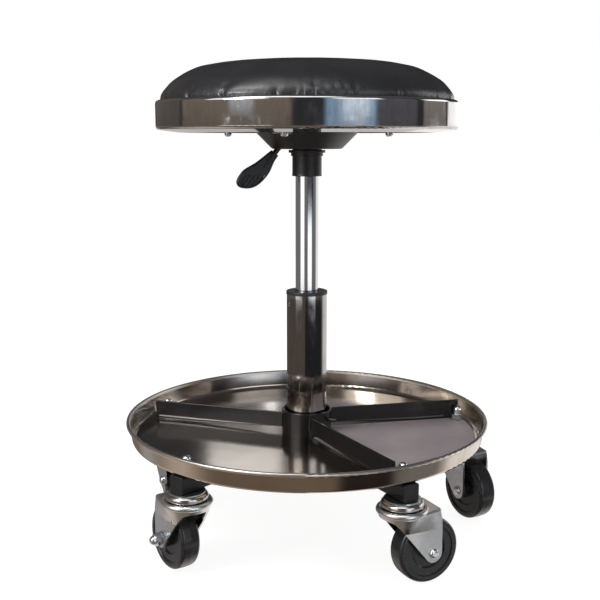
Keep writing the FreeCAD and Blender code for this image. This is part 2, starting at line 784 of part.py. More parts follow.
def rod_clip():
    """Open ring that snaps into the rod's groove under the column."""
    groove = (rod_end_radius - running_fit) * 0.8 + seated_fit
    low = column_bottom - running_fit - clip_thickness
    clip = ring(clip_radius, groove, low + running_fit, low + clip_thickness)
    gap = block(0, clip_radius + overrun, -groove * 0.6, groove * 0.6, low - overrun,
                low + clip_thickness + overrun)
    return clip.cut(gap)


def gas_tube():
    bend = lift_top - lift_taper_length
    under = lift_top - lift_top_wall
    return turned([(lift_bore, lift_bottom, 0), (lift_radius, lift_bottom, lift_wall * 0.4),
                   (lift_radius, bend, 0), (lift_tip_radius, lift_top, lift_wall * 0.4),
                   (valve_radius + running_fit, lift_top, 0), (valve_radius + running_fit, under, 0),
                   (lift_bore - lift_taper, under, 0), (lift_bore - lift_taper, bend, 0),
                   (lift_bore, bend - lift_taper, 0)])


def rod_guide():
    return ring(lift_bore - seated_fit, rod_radius + running_fit, lift_bottom, lift_bottom + guide_height)


def valve_button():
    top = lever_pivot_height - lever_rod_radius - rest_gap
    low = top - valve_length
    return turned([(0, low, 0), (valve_radius, low, valve_head_corner),
                   (valve_radius, top, valve_head_corner),
                   (0, top, 0)])


# Seat plate and socket
def taper_socket():
    """Tube with the tapered bore that the gas lift wedges into, with a collar under the plate's cone."""
    ring_top = cone_bottom - socket_flange_gap
    ring_low = ring_top - socket_flange_height - socket_ring_height
    top = cone_bottom + socket_rise
    bend = lift_top - lift_taper_length
    slope = lift_taper / lift_taper_length
    play = seated_fit
    top_bore = lift_radius + play - slope * (top - bend)
    body = turned([(lift_radius + play, socket_bottom, 0),
                   (socket_mouth_radius, socket_bottom, plate_sheet / 4),
                   (socket_radius, socket_bottom + socket_flange_height, 0), (socket_radius, ring_low, 0),
                   (socket_ring_radius, ring_low, plate_sheet / 4),
                   (socket_ring_radius, ring_low + socket_ring_height, 0),
                   (socket_flange_radius, ring_low + socket_ring_height, plate_sheet / 4),
                   (socket_flange_radius, ring_top, plate_sheet / 4), (socket_radius, ring_top, 0),
                   (socket_radius, top, 0), (top_bore, top, 0), (lift_radius + play, bend, 0)])
    return body


def lever_frame(shape):
    """Turns a part drawn in the XZ plane, outwards along +X, to the lever's own direction."""
    return spun(shape, lever_azimuth)


def mechanism_plate():
    """Pressed dish with a flat flange, a slot for the lever and two ears for its pin."""
    under = board_underside - plate_sheet
    slope = math.radians(cone_slope_angle)
    shift = plate_sheet / math.sin(slope) - plate_sheet / math.tan(slope)
    inner_corner = cone_corner - plate_sheet / 2
    dish = turned([(socket_radius + seated_fit, cone_bottom, 0),
                   (cone_bottom_radius, cone_bottom, cone_corner),
                   (cone_top_radius, under, cone_corner + plate_sheet),
                   (plate_radius, under, plate_sheet / 4),
                   (plate_radius, board_underside, plate_sheet / 4),
                   (cone_top_radius - shift, board_underside, cone_corner),
                   (cone_bottom_radius - shift, cone_bottom + plate_sheet, inner_corner),
                   (socket_radius + seated_fit, cone_bottom + plate_sheet, 0)])
    screw_hole = moved_out(rod(screw_radius + rest_gap, under - overrun, board_underside + overrun),
                           screw_circle)
    dish = dish.cut(around(screw_hole, screw_count, first_screw_angle))
    half = lever_rod_radius + slot_width_play
    slot = plate([(slot_inner, -half, half * 0.9), (slot_outer, -half, half * 0.9),
                  (slot_outer, half, half * 0.9),
                  (slot_inner, half, half * 0.9)], cone_bottom - overrun,
                  cone_bottom + slot_outer - slot_inner)
    dish = dish.cut(lever_frame(slot.common(rod(slot_outer, cone_bottom - overrun, under - plate_sheet))))
    floor = cone_bottom + plate_sheet
    side = lever_boss_width / 2 + rest_gap
    reach = bracket_ear_half_length
    ear_outline = [(lever_pivot_out - reach, floor - plate_sheet / 2, 0),
                   (lever_pivot_out + reach, floor - plate_sheet / 2, 0),
                   (lever_pivot_out + reach * 0.7, lever_pivot_height + reach * 0.7, reach * 0.6),
                   (lever_pivot_out - reach * 0.7, lever_pivot_height + reach * 0.7, reach * 0.6)]
    ear = Part.Face(rounded_wire(ear_outline, lambda x, z: vec(x, side, z))).extrude(vec(0, bracket_ear, 0))
    ears = [ear, ear.mirror(centre, vec(0, 1, 0))]
    hole = across(rod(pivot_pin_radius + seated_fit, -plate_radius, plate_radius))
    hole = hole.translated(vec(lever_pivot_out, 0, lever_pivot_height))
    ears = [lever_frame(e.cut(hole)) for e in ears]
    return dish.fuse(ears).removeSplitter()


def lever_pivot_pin():
    side = lever_boss_width / 2 + rest_gap + bracket_ear + pivot_pin_overhang
    pin = rod(pivot_pin_radius, -side, side)
    return lever_frame(across(pin).translated(vec(lever_pivot_out, 0, lever_pivot_height)))


# Lever
def grip_origin():
    """Point where the rod enters the grip: on the falling run, at a set distance out."""
    drop = (grip_start_out - lever_pivot_out) * math.tan(lever_direction)
    return vec(grip_start_out, 0, lever_pivot_height - drop)


def along_rod(along, sideways):
    """Point in the lever's plane, given along the falling rod from the grip's start and square to it."""
    start = grip_origin()
    x = start.x + along * math.cos(lever_direction) + sideways * math.sin(lever_direction)
    z = start.z - along * math.sin(lever_direction) + sideways * math.cos(lever_direction)
    return vec(x, 0, z)


def lever_rod():
    """Bent rod: a flat tongue over the valve, a boss on the pivot pin and a run down into the grip."""
    tip = vec(-lever_tip_past_axis, 0, lever_pivot_height)
    bend = (lever_pivot_out, lever_pivot_height)
    end = along_rod(grip_bore_depth - rest_gap, 0)
    start, middle, finish = corner_arc((tip.x, tip.z), bend, (end.x, end.z), lever_bend_radius)
    points = [vec(x, 0, z) for x, z in (start, middle, finish)]
    path = Part.Wire([Part.LineSegment(tip, points[0]).toShape(), Part.Arc(*points).toShape(),
                      Part.LineSegment(points[2], end).toShape()])
    section = Part.Wire([Part.Circle(tip, vec(1, 0, 0), lever_rod_radius).toShape()])
    bar = path.makePipeShell([section], True, False)
    tongue = block(tip.x, tip.x + lever_tongue_length, -lever_tongue_width / 2, lever_tongue_width / 2,
                   lever_pivot_height - lever_rod_radius,
                   lever_pivot_height - lever_rod_radius + lever_tongue_thickness)
    corners = [e for e in tongue.Edges
               if e.BoundBox.ZLength > lever_tongue_thickness / 2 and e.BoundBox.XMax < 0]
    tongue = tongue.makeFillet(lever_tongue_width / 4, corners)
    boss = across(rod(lever_boss_radius, -lever_boss_width / 2, lever_boss_width / 2))
    hole = across(rod(pivot_pin_radius + running_fit, -lever_boss_width, lever_boss_width))
    pivot = vec(lever_pivot_out, 0, lever_pivot_height)
    bar = bar.fuse([tongue, boss.translated(pivot)]).cut(hole.translated(pivot))
    return lever_frame(bar)


def share_wire(shares, base, scale):
    """Smooth closed outline in a plane beside the lever's own, drawn larger or smaller about its middle."""
    middle_a = sum(a for a, _ in shares) / len(shares)
    middle_b = sum(b for _, b in shares) / len(shares)
    points = []
    for a, b in shares:
        along = grip_length * (middle_a + (a - middle_a) * scale)
        sideways = grip_width * (middle_b + (b - middle_b) * scale)
        points.append(along_rod(along, sideways) + vec(0, base, 0))
    curve = Part.BSplineCurve()
    curve.interpolate(points)
    return Part.Wire([curve.toShape(), Part.LineSegment(points[-1], points[0]).toShape()])


def grip_slot(index, base, depth):
    """One slot of the finger pocket: a straight strip that runs along the rod, drawn from a base plane."""
    side = grip_first_slot - index * grip_slot_pitch
    start = grip_slot_start + side * grip_slot_step_share
    half = grip_slot_width / 2
    corners = [along_rod(start, side - half), along_rod(start + grip_slot_length, side - half),
               along_rod(start + grip_slot_length, side + half), along_rod(start, side + half)]
    outline = Part.makePolygon([p + vec(0, base, 0) for p in corners + corners[:1]])
    return Part.Face(outline).extrude(vec(0, depth, 0))


def grip_hollows():
    """Finger pocket with sloping sides in the grip's face on the +Y side, and the slots in its floor."""
    face = grip_thickness / 2
    floor = share_wire(grip_pocket_shares, face - grip_pocket_depth, 1 - grip_pocket_slope_share)
    mouth = share_wire(grip_pocket_shares, face + grip_pocket_depth, 1 + grip_pocket_slope_share)
    bottom = face - grip_slot_depth
    inside = share_wire(grip_pocket_shares, bottom, 1 - grip_pocket_slope_share)
    inside = Part.Face(inside).extrude(vec(0, grip_slot_depth, 0))
    slots = [grip_slot(i, bottom, grip_slot_depth).common(inside) for i in range(grip_slot_count)]
    return [Part.makeLoft([floor, mouth], True)] + slots


def lever_grip():
    """Flat moulded grip with eased edges, a round collar that runs into it and a pocket in each face."""
    half = grip_thickness / 2
    body = Part.Face(share_wire(grip_outline_shares, -half, 1)).extrude(vec(0, grip_thickness, 0))
    faces = [e for e in body.Edges if e.BoundBox.YLength < touching and e.Length > grip_width]
    body = body.makeFillet(grip_edge, faces)
    start = along_rod(-grip_collar_length / 3, 0)
    way = along_rod(1, 0) - along_rod(0, 0)
    collar = Part.makeCylinder(grip_collar_radius, grip_collar_length, start, way)
    taper = Part.makeCone(grip_collar_radius, half, grip_collar_taper,
                          start + way * grip_collar_length, way)
    hollows = grip_hollows()
    hollows += [shape.mirror(centre, vec(0, 1, 0)) for shape in hollows]
    bore = Part.makeCylinder(lever_rod_radius + seated_fit, grip_bore_depth + grip_collar_length,
                             along_rod(-grip_collar_length, 0), way)
    return lever_frame(body.fuse([collar, taper]).cut(hollows).cut(bore))


# Seat
def seat_board():
    """Round wooden board with four bored and counterbored holes for the tee nuts."""
    board = turned([(0, board_underside, 0), (board_radius, board_underside, board_corner),
                    (board_radius, board_top, board_corner), (0, board_top, 0)])
    hole = rod(tee_barrel_radius + seated_fit, board_underside - overrun, board_top + overrun)
    sink = rod(tee_flange_radius + seated_fit, board_top - tee_flange_thickness - seated_fit,
               board_top + overrun)
    return board.cut(around(moved_out(hole.fuse(sink), screw_circle), screw_count, first_screw_angle))


def tee_nuts():
    flange = board_top - tee_flange_thickness - seated_fit
    bore = screw_radius + seated_fit
    nut = turned([(bore, board_underside + seated_fit, 0),
                  (tee_barrel_radius, board_underside + seated_fit, 0),
                  (tee_barrel_radius, flange, 0), (tee_flange_radius, flange, 0),
                  (tee_flange_radius, board_top - seated_fit, 0),
                  (bore, board_top - seated_fit, 0)])
    return around(moved_out(nut, screw_circle), screw_count, first_screw_angle)


def seat_screws():
    """Screws with domed, cross-slotted heads, up through washers and the plate into the tee nuts."""
    seat = board_underside - plate_sheet - screw_washer_thickness
    head = seat - screw_head_height
    screw = turned([(0, head, 0), (screw_head_radius, head, screw_head_height * 0.6),
                    (screw_head_radius, seat, 0),
                    (screw_radius, seat, 0),
                    (screw_radius, board_top - tee_flange_thickness, screw_radius / 5),
                    (0, board_top - tee_flange_thickness, 0)])
    arm = screw_head_radius * 0.6
    width = screw_head_radius / 9
    deep = head + screw_head_height * 0.35
    slots = [block(-arm, arm, -width, width, head - overrun, deep),
             block(-width, width, -arm, arm, head - overrun, deep)]
    return around(moved_out(screw.cut(slots), screw_circle), screw_count, first_screw_angle)


def seat_washers():
    top = board_underside - plate_sheet
    washer = ring(screw_washer_radius, screw_radius + seated_fit, top - screw_washer_thickness, top)
    return around(moved_out(washer, screw_circle), screw_count, first_screw_angle)


def seat_band():
    """Rolled metal band round the seat, with its top lip turned in and a sloping return underneath."""
    inner = seat_radius - band_sheet
    fall = band_return_drop * band_sheet / (seat_radius - band_return_radius)
    return turned([(band_lip_radius, band_top, band_sheet / 3), (seat_radius, band_top, band_top_corner),
                   (seat_radius, band_bottom, band_bottom_corner),
                   (band_return_radius, band_bottom - band_return_drop, band_sheet / 3),
                   (band_return_radius, band_bottom - band_return_drop + band_sheet, band_sheet / 3),
                   (inner, band_bottom - fall + band_sheet, band_bottom_corner - band_sheet),
                   (inner, band_top - band_sheet, band_top_corner - band_sheet),
                   (band_lip_radius, band_top - band_sheet, band_sheet / 3)])


def cushion_solid(inset, low):
    """Crowned cushion: arcs for the crown, the shoulder and the neck that draws in at the band."""
    top = cushion_top - inset
    body = cushion_body_radius - inset
    crown_radius = (cushion_shoulder_radius ** 2) / (2 * (cushion_top - cushion_shoulder_height))
    mid = cushion_shoulder_radius * crown_mid_share
    mid_top = top - mid ** 2 / (2 * crown_radius)
    shoulder = vec(cushion_shoulder_radius, 0, cushion_shoulder_height - inset)
    half_shoulder = vec(shoulder_mid_radius - inset * 0.4, 0, shoulder_mid_height - inset * 0.9)
    edge = vec(cushion_radius - inset, 0, cushion_edge_height)
    neck = vec(cushion_neck_radius - inset, 0, band_top - band_sheet / 2)
    under_lip = vec(body, 0, band_top - band_sheet - cushion_corner)
    lower = vec(body, 0, low + cushion_corner)
    corner = cushion_corner * (1 - math.sqrt(0.5))
    lower_mid = vec(body - corner, 0, low + corner)
    floor = vec(body - cushion_corner, 0, low)
    edges = [Part.Arc(vec(0, 0, top), vec(mid, 0, mid_top), shoulder).toShape(),
             Part.Arc(shoulder, half_shoulder, edge).toShape(), Part.LineSegment(edge, neck).toShape(),
             Part.LineSegment(neck, under_lip).toShape(), Part.LineSegment(under_lip, lower).toShape(),
             Part.Arc(lower, lower_mid, floor).toShape(), Part.LineSegment(floor, vec(0, 0, low)).toShape(),
             Part.LineSegment(vec(0, 0, low), vec(0, 0, top)).toShape()]
    return Part.Face(Part.Wire(edges)).revolve(centre, up, 360)


def cushion_cover():
    low = board_top
    return cushion_solid(0, low).cut(cushion_solid(cover_thickness, low + cover_thickness))


def cushion_foam():
    inset = cover_thickness + seated_fit
    return cushion_solid(inset, board_top + inset)


def main():
    os.makedirs("parts", exist_ok=True)
    single = {
        "hub_socket": hub_socket, "column_tube": column_tube, "column_bush": column_bush, "tray": tray,
        "tray_mat": tray_mat, "tray_divider": tray_divider, "piston_rod": piston_rod,
        "piston_head": piston_head,
        "rod_clip": rod_clip, "gas_tube": gas_tube, "rod_guide": rod_guide, "valve_button": valve_button,
        "taper_socket": taper_socket, "mechanism_plate": mechanism_plate,
        "lever_pivot_pin": lever_pivot_pin,
        "lever_rod": lever_rod, "lever_grip": lever_grip, "seat_board": seat_board, "seat_band": seat_band,
        "cushion_cover": cushion_cover, "cushion_foam": cushion_foam}
    groups = {
        "legs": leg_tubes, "leg_plugs": leg_plugs, "stem_nuts": stem_nuts, "stem_washers": stem_washers,
        "thrust_bearing": thrust_bearing, "tee_nuts": tee_nuts, "seat_screws": seat_screws,
        "seat_washers": seat_washers}
    for name, build in single.items():
        save(build(), name)
    for name, build in groups.items():
        save(Part.makeCompound(build()), name)
    fixed = {"castor_stems": castor_stem, "castor_cups": castor_cup, "castor_washers": castor_washer,
             "castor_balls": castor_balls}
    for name, build in fixed.items():
        piece = build()
        save(Part.makeCompound([on_leg(piece, i) for i in range(leg_count)]), name)
    swivelling = {"yoke": castor_yoke, "wheel": castor_wheel, "hub_sleeve": hub_sleeve,
                  "axle_bolt": axle_bolt,
                  "axle_nut": axle_nut}
    for part_name, build in swivelling.items():
        piece = build()
        for i, leg in enumerate(leg_names):
            save(on_leg(piece, i), leg + "_" + part_name)


main()
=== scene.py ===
import math

import bpy
import numpy as np
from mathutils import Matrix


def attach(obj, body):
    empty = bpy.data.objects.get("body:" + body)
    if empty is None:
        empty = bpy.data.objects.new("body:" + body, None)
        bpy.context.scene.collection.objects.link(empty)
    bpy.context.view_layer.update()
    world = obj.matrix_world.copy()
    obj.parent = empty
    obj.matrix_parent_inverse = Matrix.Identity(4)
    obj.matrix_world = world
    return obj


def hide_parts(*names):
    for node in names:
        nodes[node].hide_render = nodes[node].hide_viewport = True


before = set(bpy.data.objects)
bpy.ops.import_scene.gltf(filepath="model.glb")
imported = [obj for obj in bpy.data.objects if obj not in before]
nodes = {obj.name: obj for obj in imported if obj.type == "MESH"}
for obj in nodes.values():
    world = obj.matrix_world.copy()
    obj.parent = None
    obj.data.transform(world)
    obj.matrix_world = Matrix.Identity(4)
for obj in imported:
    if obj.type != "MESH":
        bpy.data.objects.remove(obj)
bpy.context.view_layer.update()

# Creeper seat: finishes for the CAD pieces, and the padded cover, weld beads, feet of the divider's arms,
# laid mat and spring wire that are shaped here.
# Metres, in the CAD frame: the column stands on the origin, +Z is up and the front of the seat faces -Y.


# Shader maths
class Field:
    """A value that varies over a surface. Sums, products and powers of fields add Math nodes."""

    def __init__(self, finish, socket):
        self.finish = finish
        self.socket = socket

    def math(self, operation, *values):
        return self.finish.add("ShaderNodeMath", {"operation": operation}, dict(enumerate(values)))

    def __add__(self, other):
        return self.math("ADD", self, other)

    __radd__ = __add__

    def __sub__(self, other):
        return self.math("SUBTRACT", self, other)

    def __rsub__(self, other):
        return self.math("SUBTRACT", other, self)

    def __mul__(self, other):
        return self.math("MULTIPLY", self, other)

    __rmul__ = __mul__

    def __truediv__(self, other):
        return self.math("DIVIDE", self, other)

    def __rtruediv__(self, other):
        return self.math("DIVIDE", other, self)

    def __pow__(self, other):
        return self.math("POWER", self, other)


class Finish:
    """The node tree of one material, or of the world, and the method that adds any node to it."""

    def __init__(self, owner):
        owner.use_nodes = True
        self.owner = owner
        self.tree = owner.node_tree
        self.tree.nodes.clear()

    def add(self, kind, settings=None, inputs=None, output=0):
        """Adds a node: its settings first, then the value or link of each input. Gives one output."""
        node = self.tree.nodes.new(kind)
        for name, value in (settings or {}).items():
            if name == "stops":
                ramp = node.color_ramp
                while len(ramp.elements) < len(value):
                    ramp.elements.new(1.0)
                for element, (position, colour) in zip(ramp.elements, value):
                    element.position = position
                    element.color = colour
            else:
                setattr(node, name, value)
        for name, value in (inputs or {}).items():
            if isinstance(value, Field):
                self.tree.links.new(value.socket, node.inputs[name])
            else:
                node.inputs[name].default_value = value
        return Field(self, node.outputs[output])

    def place(self):
        """Position on the object, in metres."""
        return self.add("ShaderNodeTexCoord", output="Object")

    def parts(self, vector):
        """The three components of a vector, as fields."""
        first = self.add("ShaderNodeSeparateXYZ", inputs={0: vector})
        return [Field(self, socket) for socket in first.socket.node.outputs]

    def vector(self, x, y, z):
        return self.add("ShaderNodeCombineXYZ", inputs={0: x, 1: y, 2: z})

    def noise(self, vector, scale, detail=3.0, roughness=0.55, distortion=0.0):
        return self.add("ShaderNodeTexNoise", None, {"Vector": vector, "Scale": scale, "Detail": detail,
                                                     "Roughness": roughness, "Distortion": distortion})

    def ease(self, value, low, high, start=0.0, end=1.0):
        """Smooth change from start to end while the value goes from low to high."""
        return self.add("ShaderNodeMapRange", {"interpolation_type": "SMOOTHSTEP"},
                        {"Value": value, "From Min": low, "From Max": high, "To Min": start, "To Max": end})

    def between(self, value, low, high, soft):
        """1 between low and high, 0 outside, with soft flanks."""
        rise = self.ease(value, low - soft, low + soft)
        fall = self.ease(value, high - soft, high + soft, 1.0, 0.0)
        return rise * fall

    def mix(self, share, first, second):
        """Colour between two colours, by share: the Mix node's inputs 6 and 7 and its output 2."""
        return self.add("ShaderNodeMix", {"data_type": "RGBA", "clamp_result": False},
                        {0: share, 6: first, 7: second}, 2)

    def bump(self, height, distance, strength=1.0, normal=None):
        inputs = {"Height": height, "Distance": distance, "Strength": strength}
        if normal is not None:
            inputs["Normal"] = normal
        return self.add("ShaderNodeBump", None, inputs)

    def surface(self, **sockets):
        """The finished surface: a Principled shader, its sockets given with underscores for spaces."""
        inputs = {name.replace("_", " "): value for name, value in sockets.items()}
        shader = self.add("ShaderNodeBsdfPrincipled", None, inputs)
        self.add_output(shader)

    def add_output(self, shader, kind="ShaderNodeOutputMaterial"):
        node = self.tree.nodes.new(kind)
        self.tree.links.new(shader.socket, node.inputs["Surface"])


def new_finish(name):
    return Finish(bpy.data.materials.new(name))


def tone(red, green, blue):
    return (red, green, blue, 1.0)


# Places that the finishes and the new pieces share
leg_first = 13.0        # angle of the first leg about the column, in degrees
leg_step = 72.0
pin_circle = 0.203      # the castors' pins stand on it
band_line = 0.530       # height at which the cover leaves the band


# Finishes
def cover_vinyl():
    """Black vinyl: pebbled grain, faint creases that run up from the rim, level wrinkles and scuffs."""
    finish = new_finish("cover_vinyl")
    place = finish.place()
    x, y, z = finish.parts(place)
    away = (x * x + y * y) ** 0.5
    pebble = finish.add("ShaderNodeTexVoronoi", {"feature": "F1"}, {"Vector": place, "Scale": 1150.0,
                                                                     "Randomness": 1.0})
    soft = finish.noise(place, 480.0, 3.0)
    patches = finish.noise(place, 14.0, 4.0, 0.6)
    around_rim = finish.vector(x / away * 2.4, y / away * 2.4, z * 7.0)
    creases = finish.noise(around_rim, 9.0, 5.0, 0.62, 0.4)
    level = finish.noise(finish.vector(x / away * 5.0, y / away * 5.0, z * 150.0), 1.6, 4.0, 0.6, 0.5)
    near_rim = finish.ease(z, band_line - 0.001, band_line + 0.030, 1.0, 0.0)
    at_rim = finish.ease(z, band_line + 0.001, band_line + 0.015, 1.0, 0.0)
    scuffs = finish.noise(finish.vector(x, y * 3.5, z), 60.0, 5.0, 0.7)
    colour = finish.mix(finish.ease(patches, 0.35, 0.7), tone(0.0098, 0.0099, 0.0112),
                        tone(0.0150, 0.0151, 0.0166))
    colour = finish.mix(finish.ease(scuffs, 0.62, 0.8) * 0.3, colour, tone(0.030, 0.030, 0.032))
    grain = finish.bump(pebble * 0.7 + soft * 0.5, 0.00016, 0.30)
    wrinkled = finish.bump(level * at_rim, 0.0007, 0.45, grain)
    normal = finish.bump(creases * near_rim, 0.0016, 0.5, wrinkled)
    finish.surface(Base_Color=colour, Roughness=0.31 + patches * 0.08 + soft * 0.05, Normal=normal, IOR=1.5,
                   Coat_Weight=0.20 + patches * 0.12, Coat_Roughness=0.24, Coat_IOR=1.45)
    return finish.owner


def smoked_chrome(name, tint, shade, dullest, wall_low, wall_high):
    """Dark mirror plating: faint upright polishing streaks, wiped smears and specks. Its lips stay plain."""
    finish = new_finish(name)
    place = finish.place()
    x, y, z = finish.parts(place)
    wall = finish.between(z, wall_low, wall_high, 0.003)
    streaks = finish.noise(finish.vector(x, y, z * 0.22), 210.0, 4.0, 0.62)
    smears = finish.noise(finish.vector(x, y, z * 0.45), 62.0, 5.0, 0.6, 0.25)
    specks = finish.noise(place, 900.0, 2.0, 0.5)
    waves = finish.noise(finish.vector(x, y, z * 0.5), 36.0, 2.0, 0.4)
    dull = finish.ease(smears, 0.46, 0.74)
    fine = finish.ease(streaks, 0.40, 0.72)
    colour = finish.mix(dull, tint, shade)
    colour = finish.mix(fine * 0.22, colour, tone(0.22, 0.21, 0.205))
    colour = finish.mix(finish.ease(specks, 0.7, 0.78) * 0.35, colour, tone(0.70, 0.70, 0.70))
    rough = 0.04 + dull * dullest + fine * 0.03 + finish.ease(specks, 0.7, 0.8) * 0.1
    mean_height = 0.59
    height = (waves + smears * 0.15 + streaks * 0.03 - mean_height) * wall
    finish.surface(Base_Color=colour, Metallic=1.0, Roughness=rough,
                   Normal=finish.bump(height, 0.0004, 0.35))
    return finish.owner


def bright_chrome():
    """Ground and plated lift tube: a clear mirror with very fine rings round it and wiped grease."""
    finish = new_finish("lift_chrome")
    place = finish.place()
    x, y, z = finish.parts(place)
    rings = finish.noise(finish.vector(x * 2.0, y * 2.0, z * 900.0), 1.0, 2.0, 0.5)
    smears = finish.noise(finish.vector(x * 3.0, y * 3.0, z), 34.0, 5.0, 0.65)
    colour = finish.mix(smears, tone(0.66, 0.66, 0.67), tone(0.76, 0.76, 0.77))
    finish.surface(Base_Color=colour, Metallic=1.0, Roughness=0.05 + smears * 0.06 + rings * 0.02,
                   Normal=finish.bump(rings, 0.00001, 0.4))
    return finish.owner


def tray_nickel():
    """Smoked nickel sheet: wiped patches, upright streaks, fine scratches on the floor and a satin rim,
    whose lighter colour is a painted highlight.
    """
    finish = new_finish("tray_nickel")
    place = finish.place()
    x, y, z = finish.parts(place)
    away = (x * x + y * y) ** 0.5
    floor_edge = 0.210
    rim_line = 0.1405
    floor = finish.ease(away, floor_edge - 0.002, floor_edge + 0.002, 1.0, 0.0)
    rim = finish.ease(z, rim_line, rim_line + 0.0015)
    wiped = finish.noise(place, 9.0, 5.0, 0.62, 0.6)
    streaks = finish.noise(finish.vector(x, y, z * 0.25), 42.0, 1.0, 0.5)
    hair = finish.noise(finish.vector(x * 40.0, y * 3.0, z), 8.0, 6.0, 0.75, 1.2)
    specks = finish.noise(place, 620.0, 2.0, 0.5)
    colour = finish.mix(finish.ease(wiped, 0.35, 0.7), tone(0.50, 0.445, 0.395), tone(0.58, 0.525, 0.475))
    colour = finish.mix(finish.ease(streaks, 0.45, 0.75) * 0.3, colour, tone(0.38, 0.335, 0.295))
    # Painted highlight: the rolled rim is painted lighter to stand in for the bright line of light along its
    # bead.
    colour = finish.mix(rim * 0.6, colour, tone(0.68, 0.64, 0.60))
    colour = finish.mix(finish.ease(specks, 0.72, 0.78) * 0.35, colour, tone(0.16, 0.14, 0.13))
    rough = 0.09 + wiped * 0.06 + floor * (0.02 + finish.ease(hair, 0.62, 0.75) * 0.08) + rim * 0.20
    finish.surface(Base_Color=colour, Metallic=1.0, Roughness=rough,
                   Normal=finish.bump(hair * floor, 0.00003, 0.3))
    return finish.owner


def mat_rubber():
    """Thin grey mat: very fine stipple, a lilac cast and pale rubbed patches."""
    finish = new_finish("mat_grey")
    place = finish.place()
    stipple = finish.noise(place, 1500.0, 2.0, 0.6)
    rubbed = finish.noise(place, 16.0, 5.0, 0.6)
    colour = finish.mix(finish.ease(rubbed, 0.3, 0.75), tone(0.185, 0.157, 0.163), tone(0.24, 0.205, 0.212))
    colour = finish.mix(finish.ease(stipple, 0.6, 0.8) * 0.3, colour, tone(0.31, 0.28, 0.285))
    finish.surface(Base_Color=colour, Roughness=0.42 + rubbed * 0.15, IOR=1.48,
                   Normal=finish.bump(stipple, 0.00009, 0.5))
    return finish.owner


def black_paint(name, base, rough, worn_share):
    """Powder coat: orange peel, dust in the hollows of its texture and a few rubbed places."""
    finish = new_finish(name)
    place = finish.place()
    peel = finish.noise(place, 520.0, 2.0, 0.5)
    fine = finish.noise(place, 2100.0, 2.0, 0.5)
    rubbed = finish.noise(place, 55.0, 5.0, 0.7)
    worn = finish.ease(rubbed, 0.66, 0.78) * worn_share
    colour = finish.mix(worn, tone(base, base, base * 1.08), tone(0.085, 0.085, 0.088))
    colour = finish.mix(finish.ease(fine, 0.68, 0.8) * 0.12, colour, tone(0.16, 0.16, 0.16))
    finish.surface(Base_Color=colour, Roughness=rough + peel * 0.08 - worn * 0.1, IOR=1.5,
                   Normal=finish.bump(peel + fine * 0.3, 0.00008, 0.5))
    return finish.owner


def black_plastic(name, base, rough, grain):
    """Moulded plastic: spark-eroded texture with faint flow marks."""
    finish = new_finish(name)
    place = finish.place()
    texture = finish.noise(place, grain, 2.0, 0.6)
    flow = finish.noise(place, 70.0, 4.0, 0.6, 0.8)
    colour = finish.mix(finish.ease(flow, 0.35, 0.75), tone(base, base, base * 1.05),
                        tone(base * 1.7, base * 1.7, base * 1.78))
    finish.surface(Base_Color=colour, Roughness=rough + flow * 0.1, IOR=1.49,
                   Normal=finish.bump(texture, 0.00006, 0.45))
    return finish.owner


def zinc_plate(name, light, dark, rough, crinkle, shine_reach):
    """Zinc plating: cloudy patches, a pressed sheet's slight waves and a polish near the castors' pins."""
    finish = new_finish(name)
    place = finish.place()
    x, y = finish.parts(place)[:2]
    clouds = finish.noise(place, 60.0, 5.0, 0.65, 0.5)
    waves = finish.noise(place, 95.0, 3.0, 0.55, 0.8)
    spots = finish.noise(place, 420.0, 3.0, 0.6)
    around = finish.add("ShaderNodeMath", {"operation": "ARCTAN2"}, {0: y, 1: x}) * (180.0 / math.pi)
    folded = finish.add("ShaderNodeMath", {"operation": "WRAP"},
                        {0: around - leg_first, 1: leg_step / 2.0, 2: -leg_step / 2.0})
    turn = folded * (math.pi / 180.0)
    away = (x * x + y * y) ** 0.5
    out = away * finish.add("ShaderNodeMath", {"operation": "COSINE"}, {0: turn}) - pin_circle
    across = away * finish.add("ShaderNodeMath", {"operation": "SINE"}, {0: turn})
    from_pin = (out * out + across * across) ** 0.5
    polished = finish.ease(from_pin, shine_reach - 0.002, shine_reach + 0.002, 1.0, 0.0)
    colour = finish.mix(finish.ease(clouds, 0.32, 0.72), light, dark)
    colour = finish.mix(finish.ease(spots, 0.68, 0.8) * 0.4, colour, tone(0.25, 0.25, 0.26))
    colour = finish.mix(polished * 0.7, colour, tone(0.52, 0.495, 0.475))
    polished_rough = 0.13
    finish.surface(Base_Color=colour, Metallic=1.0,
                   Roughness=rough + clouds * 0.08 - polished * (rough - polished_rough),
                   Normal=finish.bump(waves * (1.0 - polished * 0.85), crinkle, 0.4))
    return finish.owner


def turned_steel(name, light, rough):
    """Bright turned steel: fine tool marks and a thin film of oil."""
    finish = new_finish(name)
    place = finish.place()
    marks = finish.noise(place, 1400.0, 2.0, 0.5)
    oil = finish.noise(place, 90.0, 4.0, 0.6)
    colour = finish.mix(oil, tone(light * 0.86, light * 0.87, light * 0.88), tone(light, light, light))
    finish.surface(Base_Color=colour, Metallic=1.0, Roughness=rough + oil * 0.1,
                   Normal=finish.bump(marks, 0.00003, 0.4))
    return finish.owner


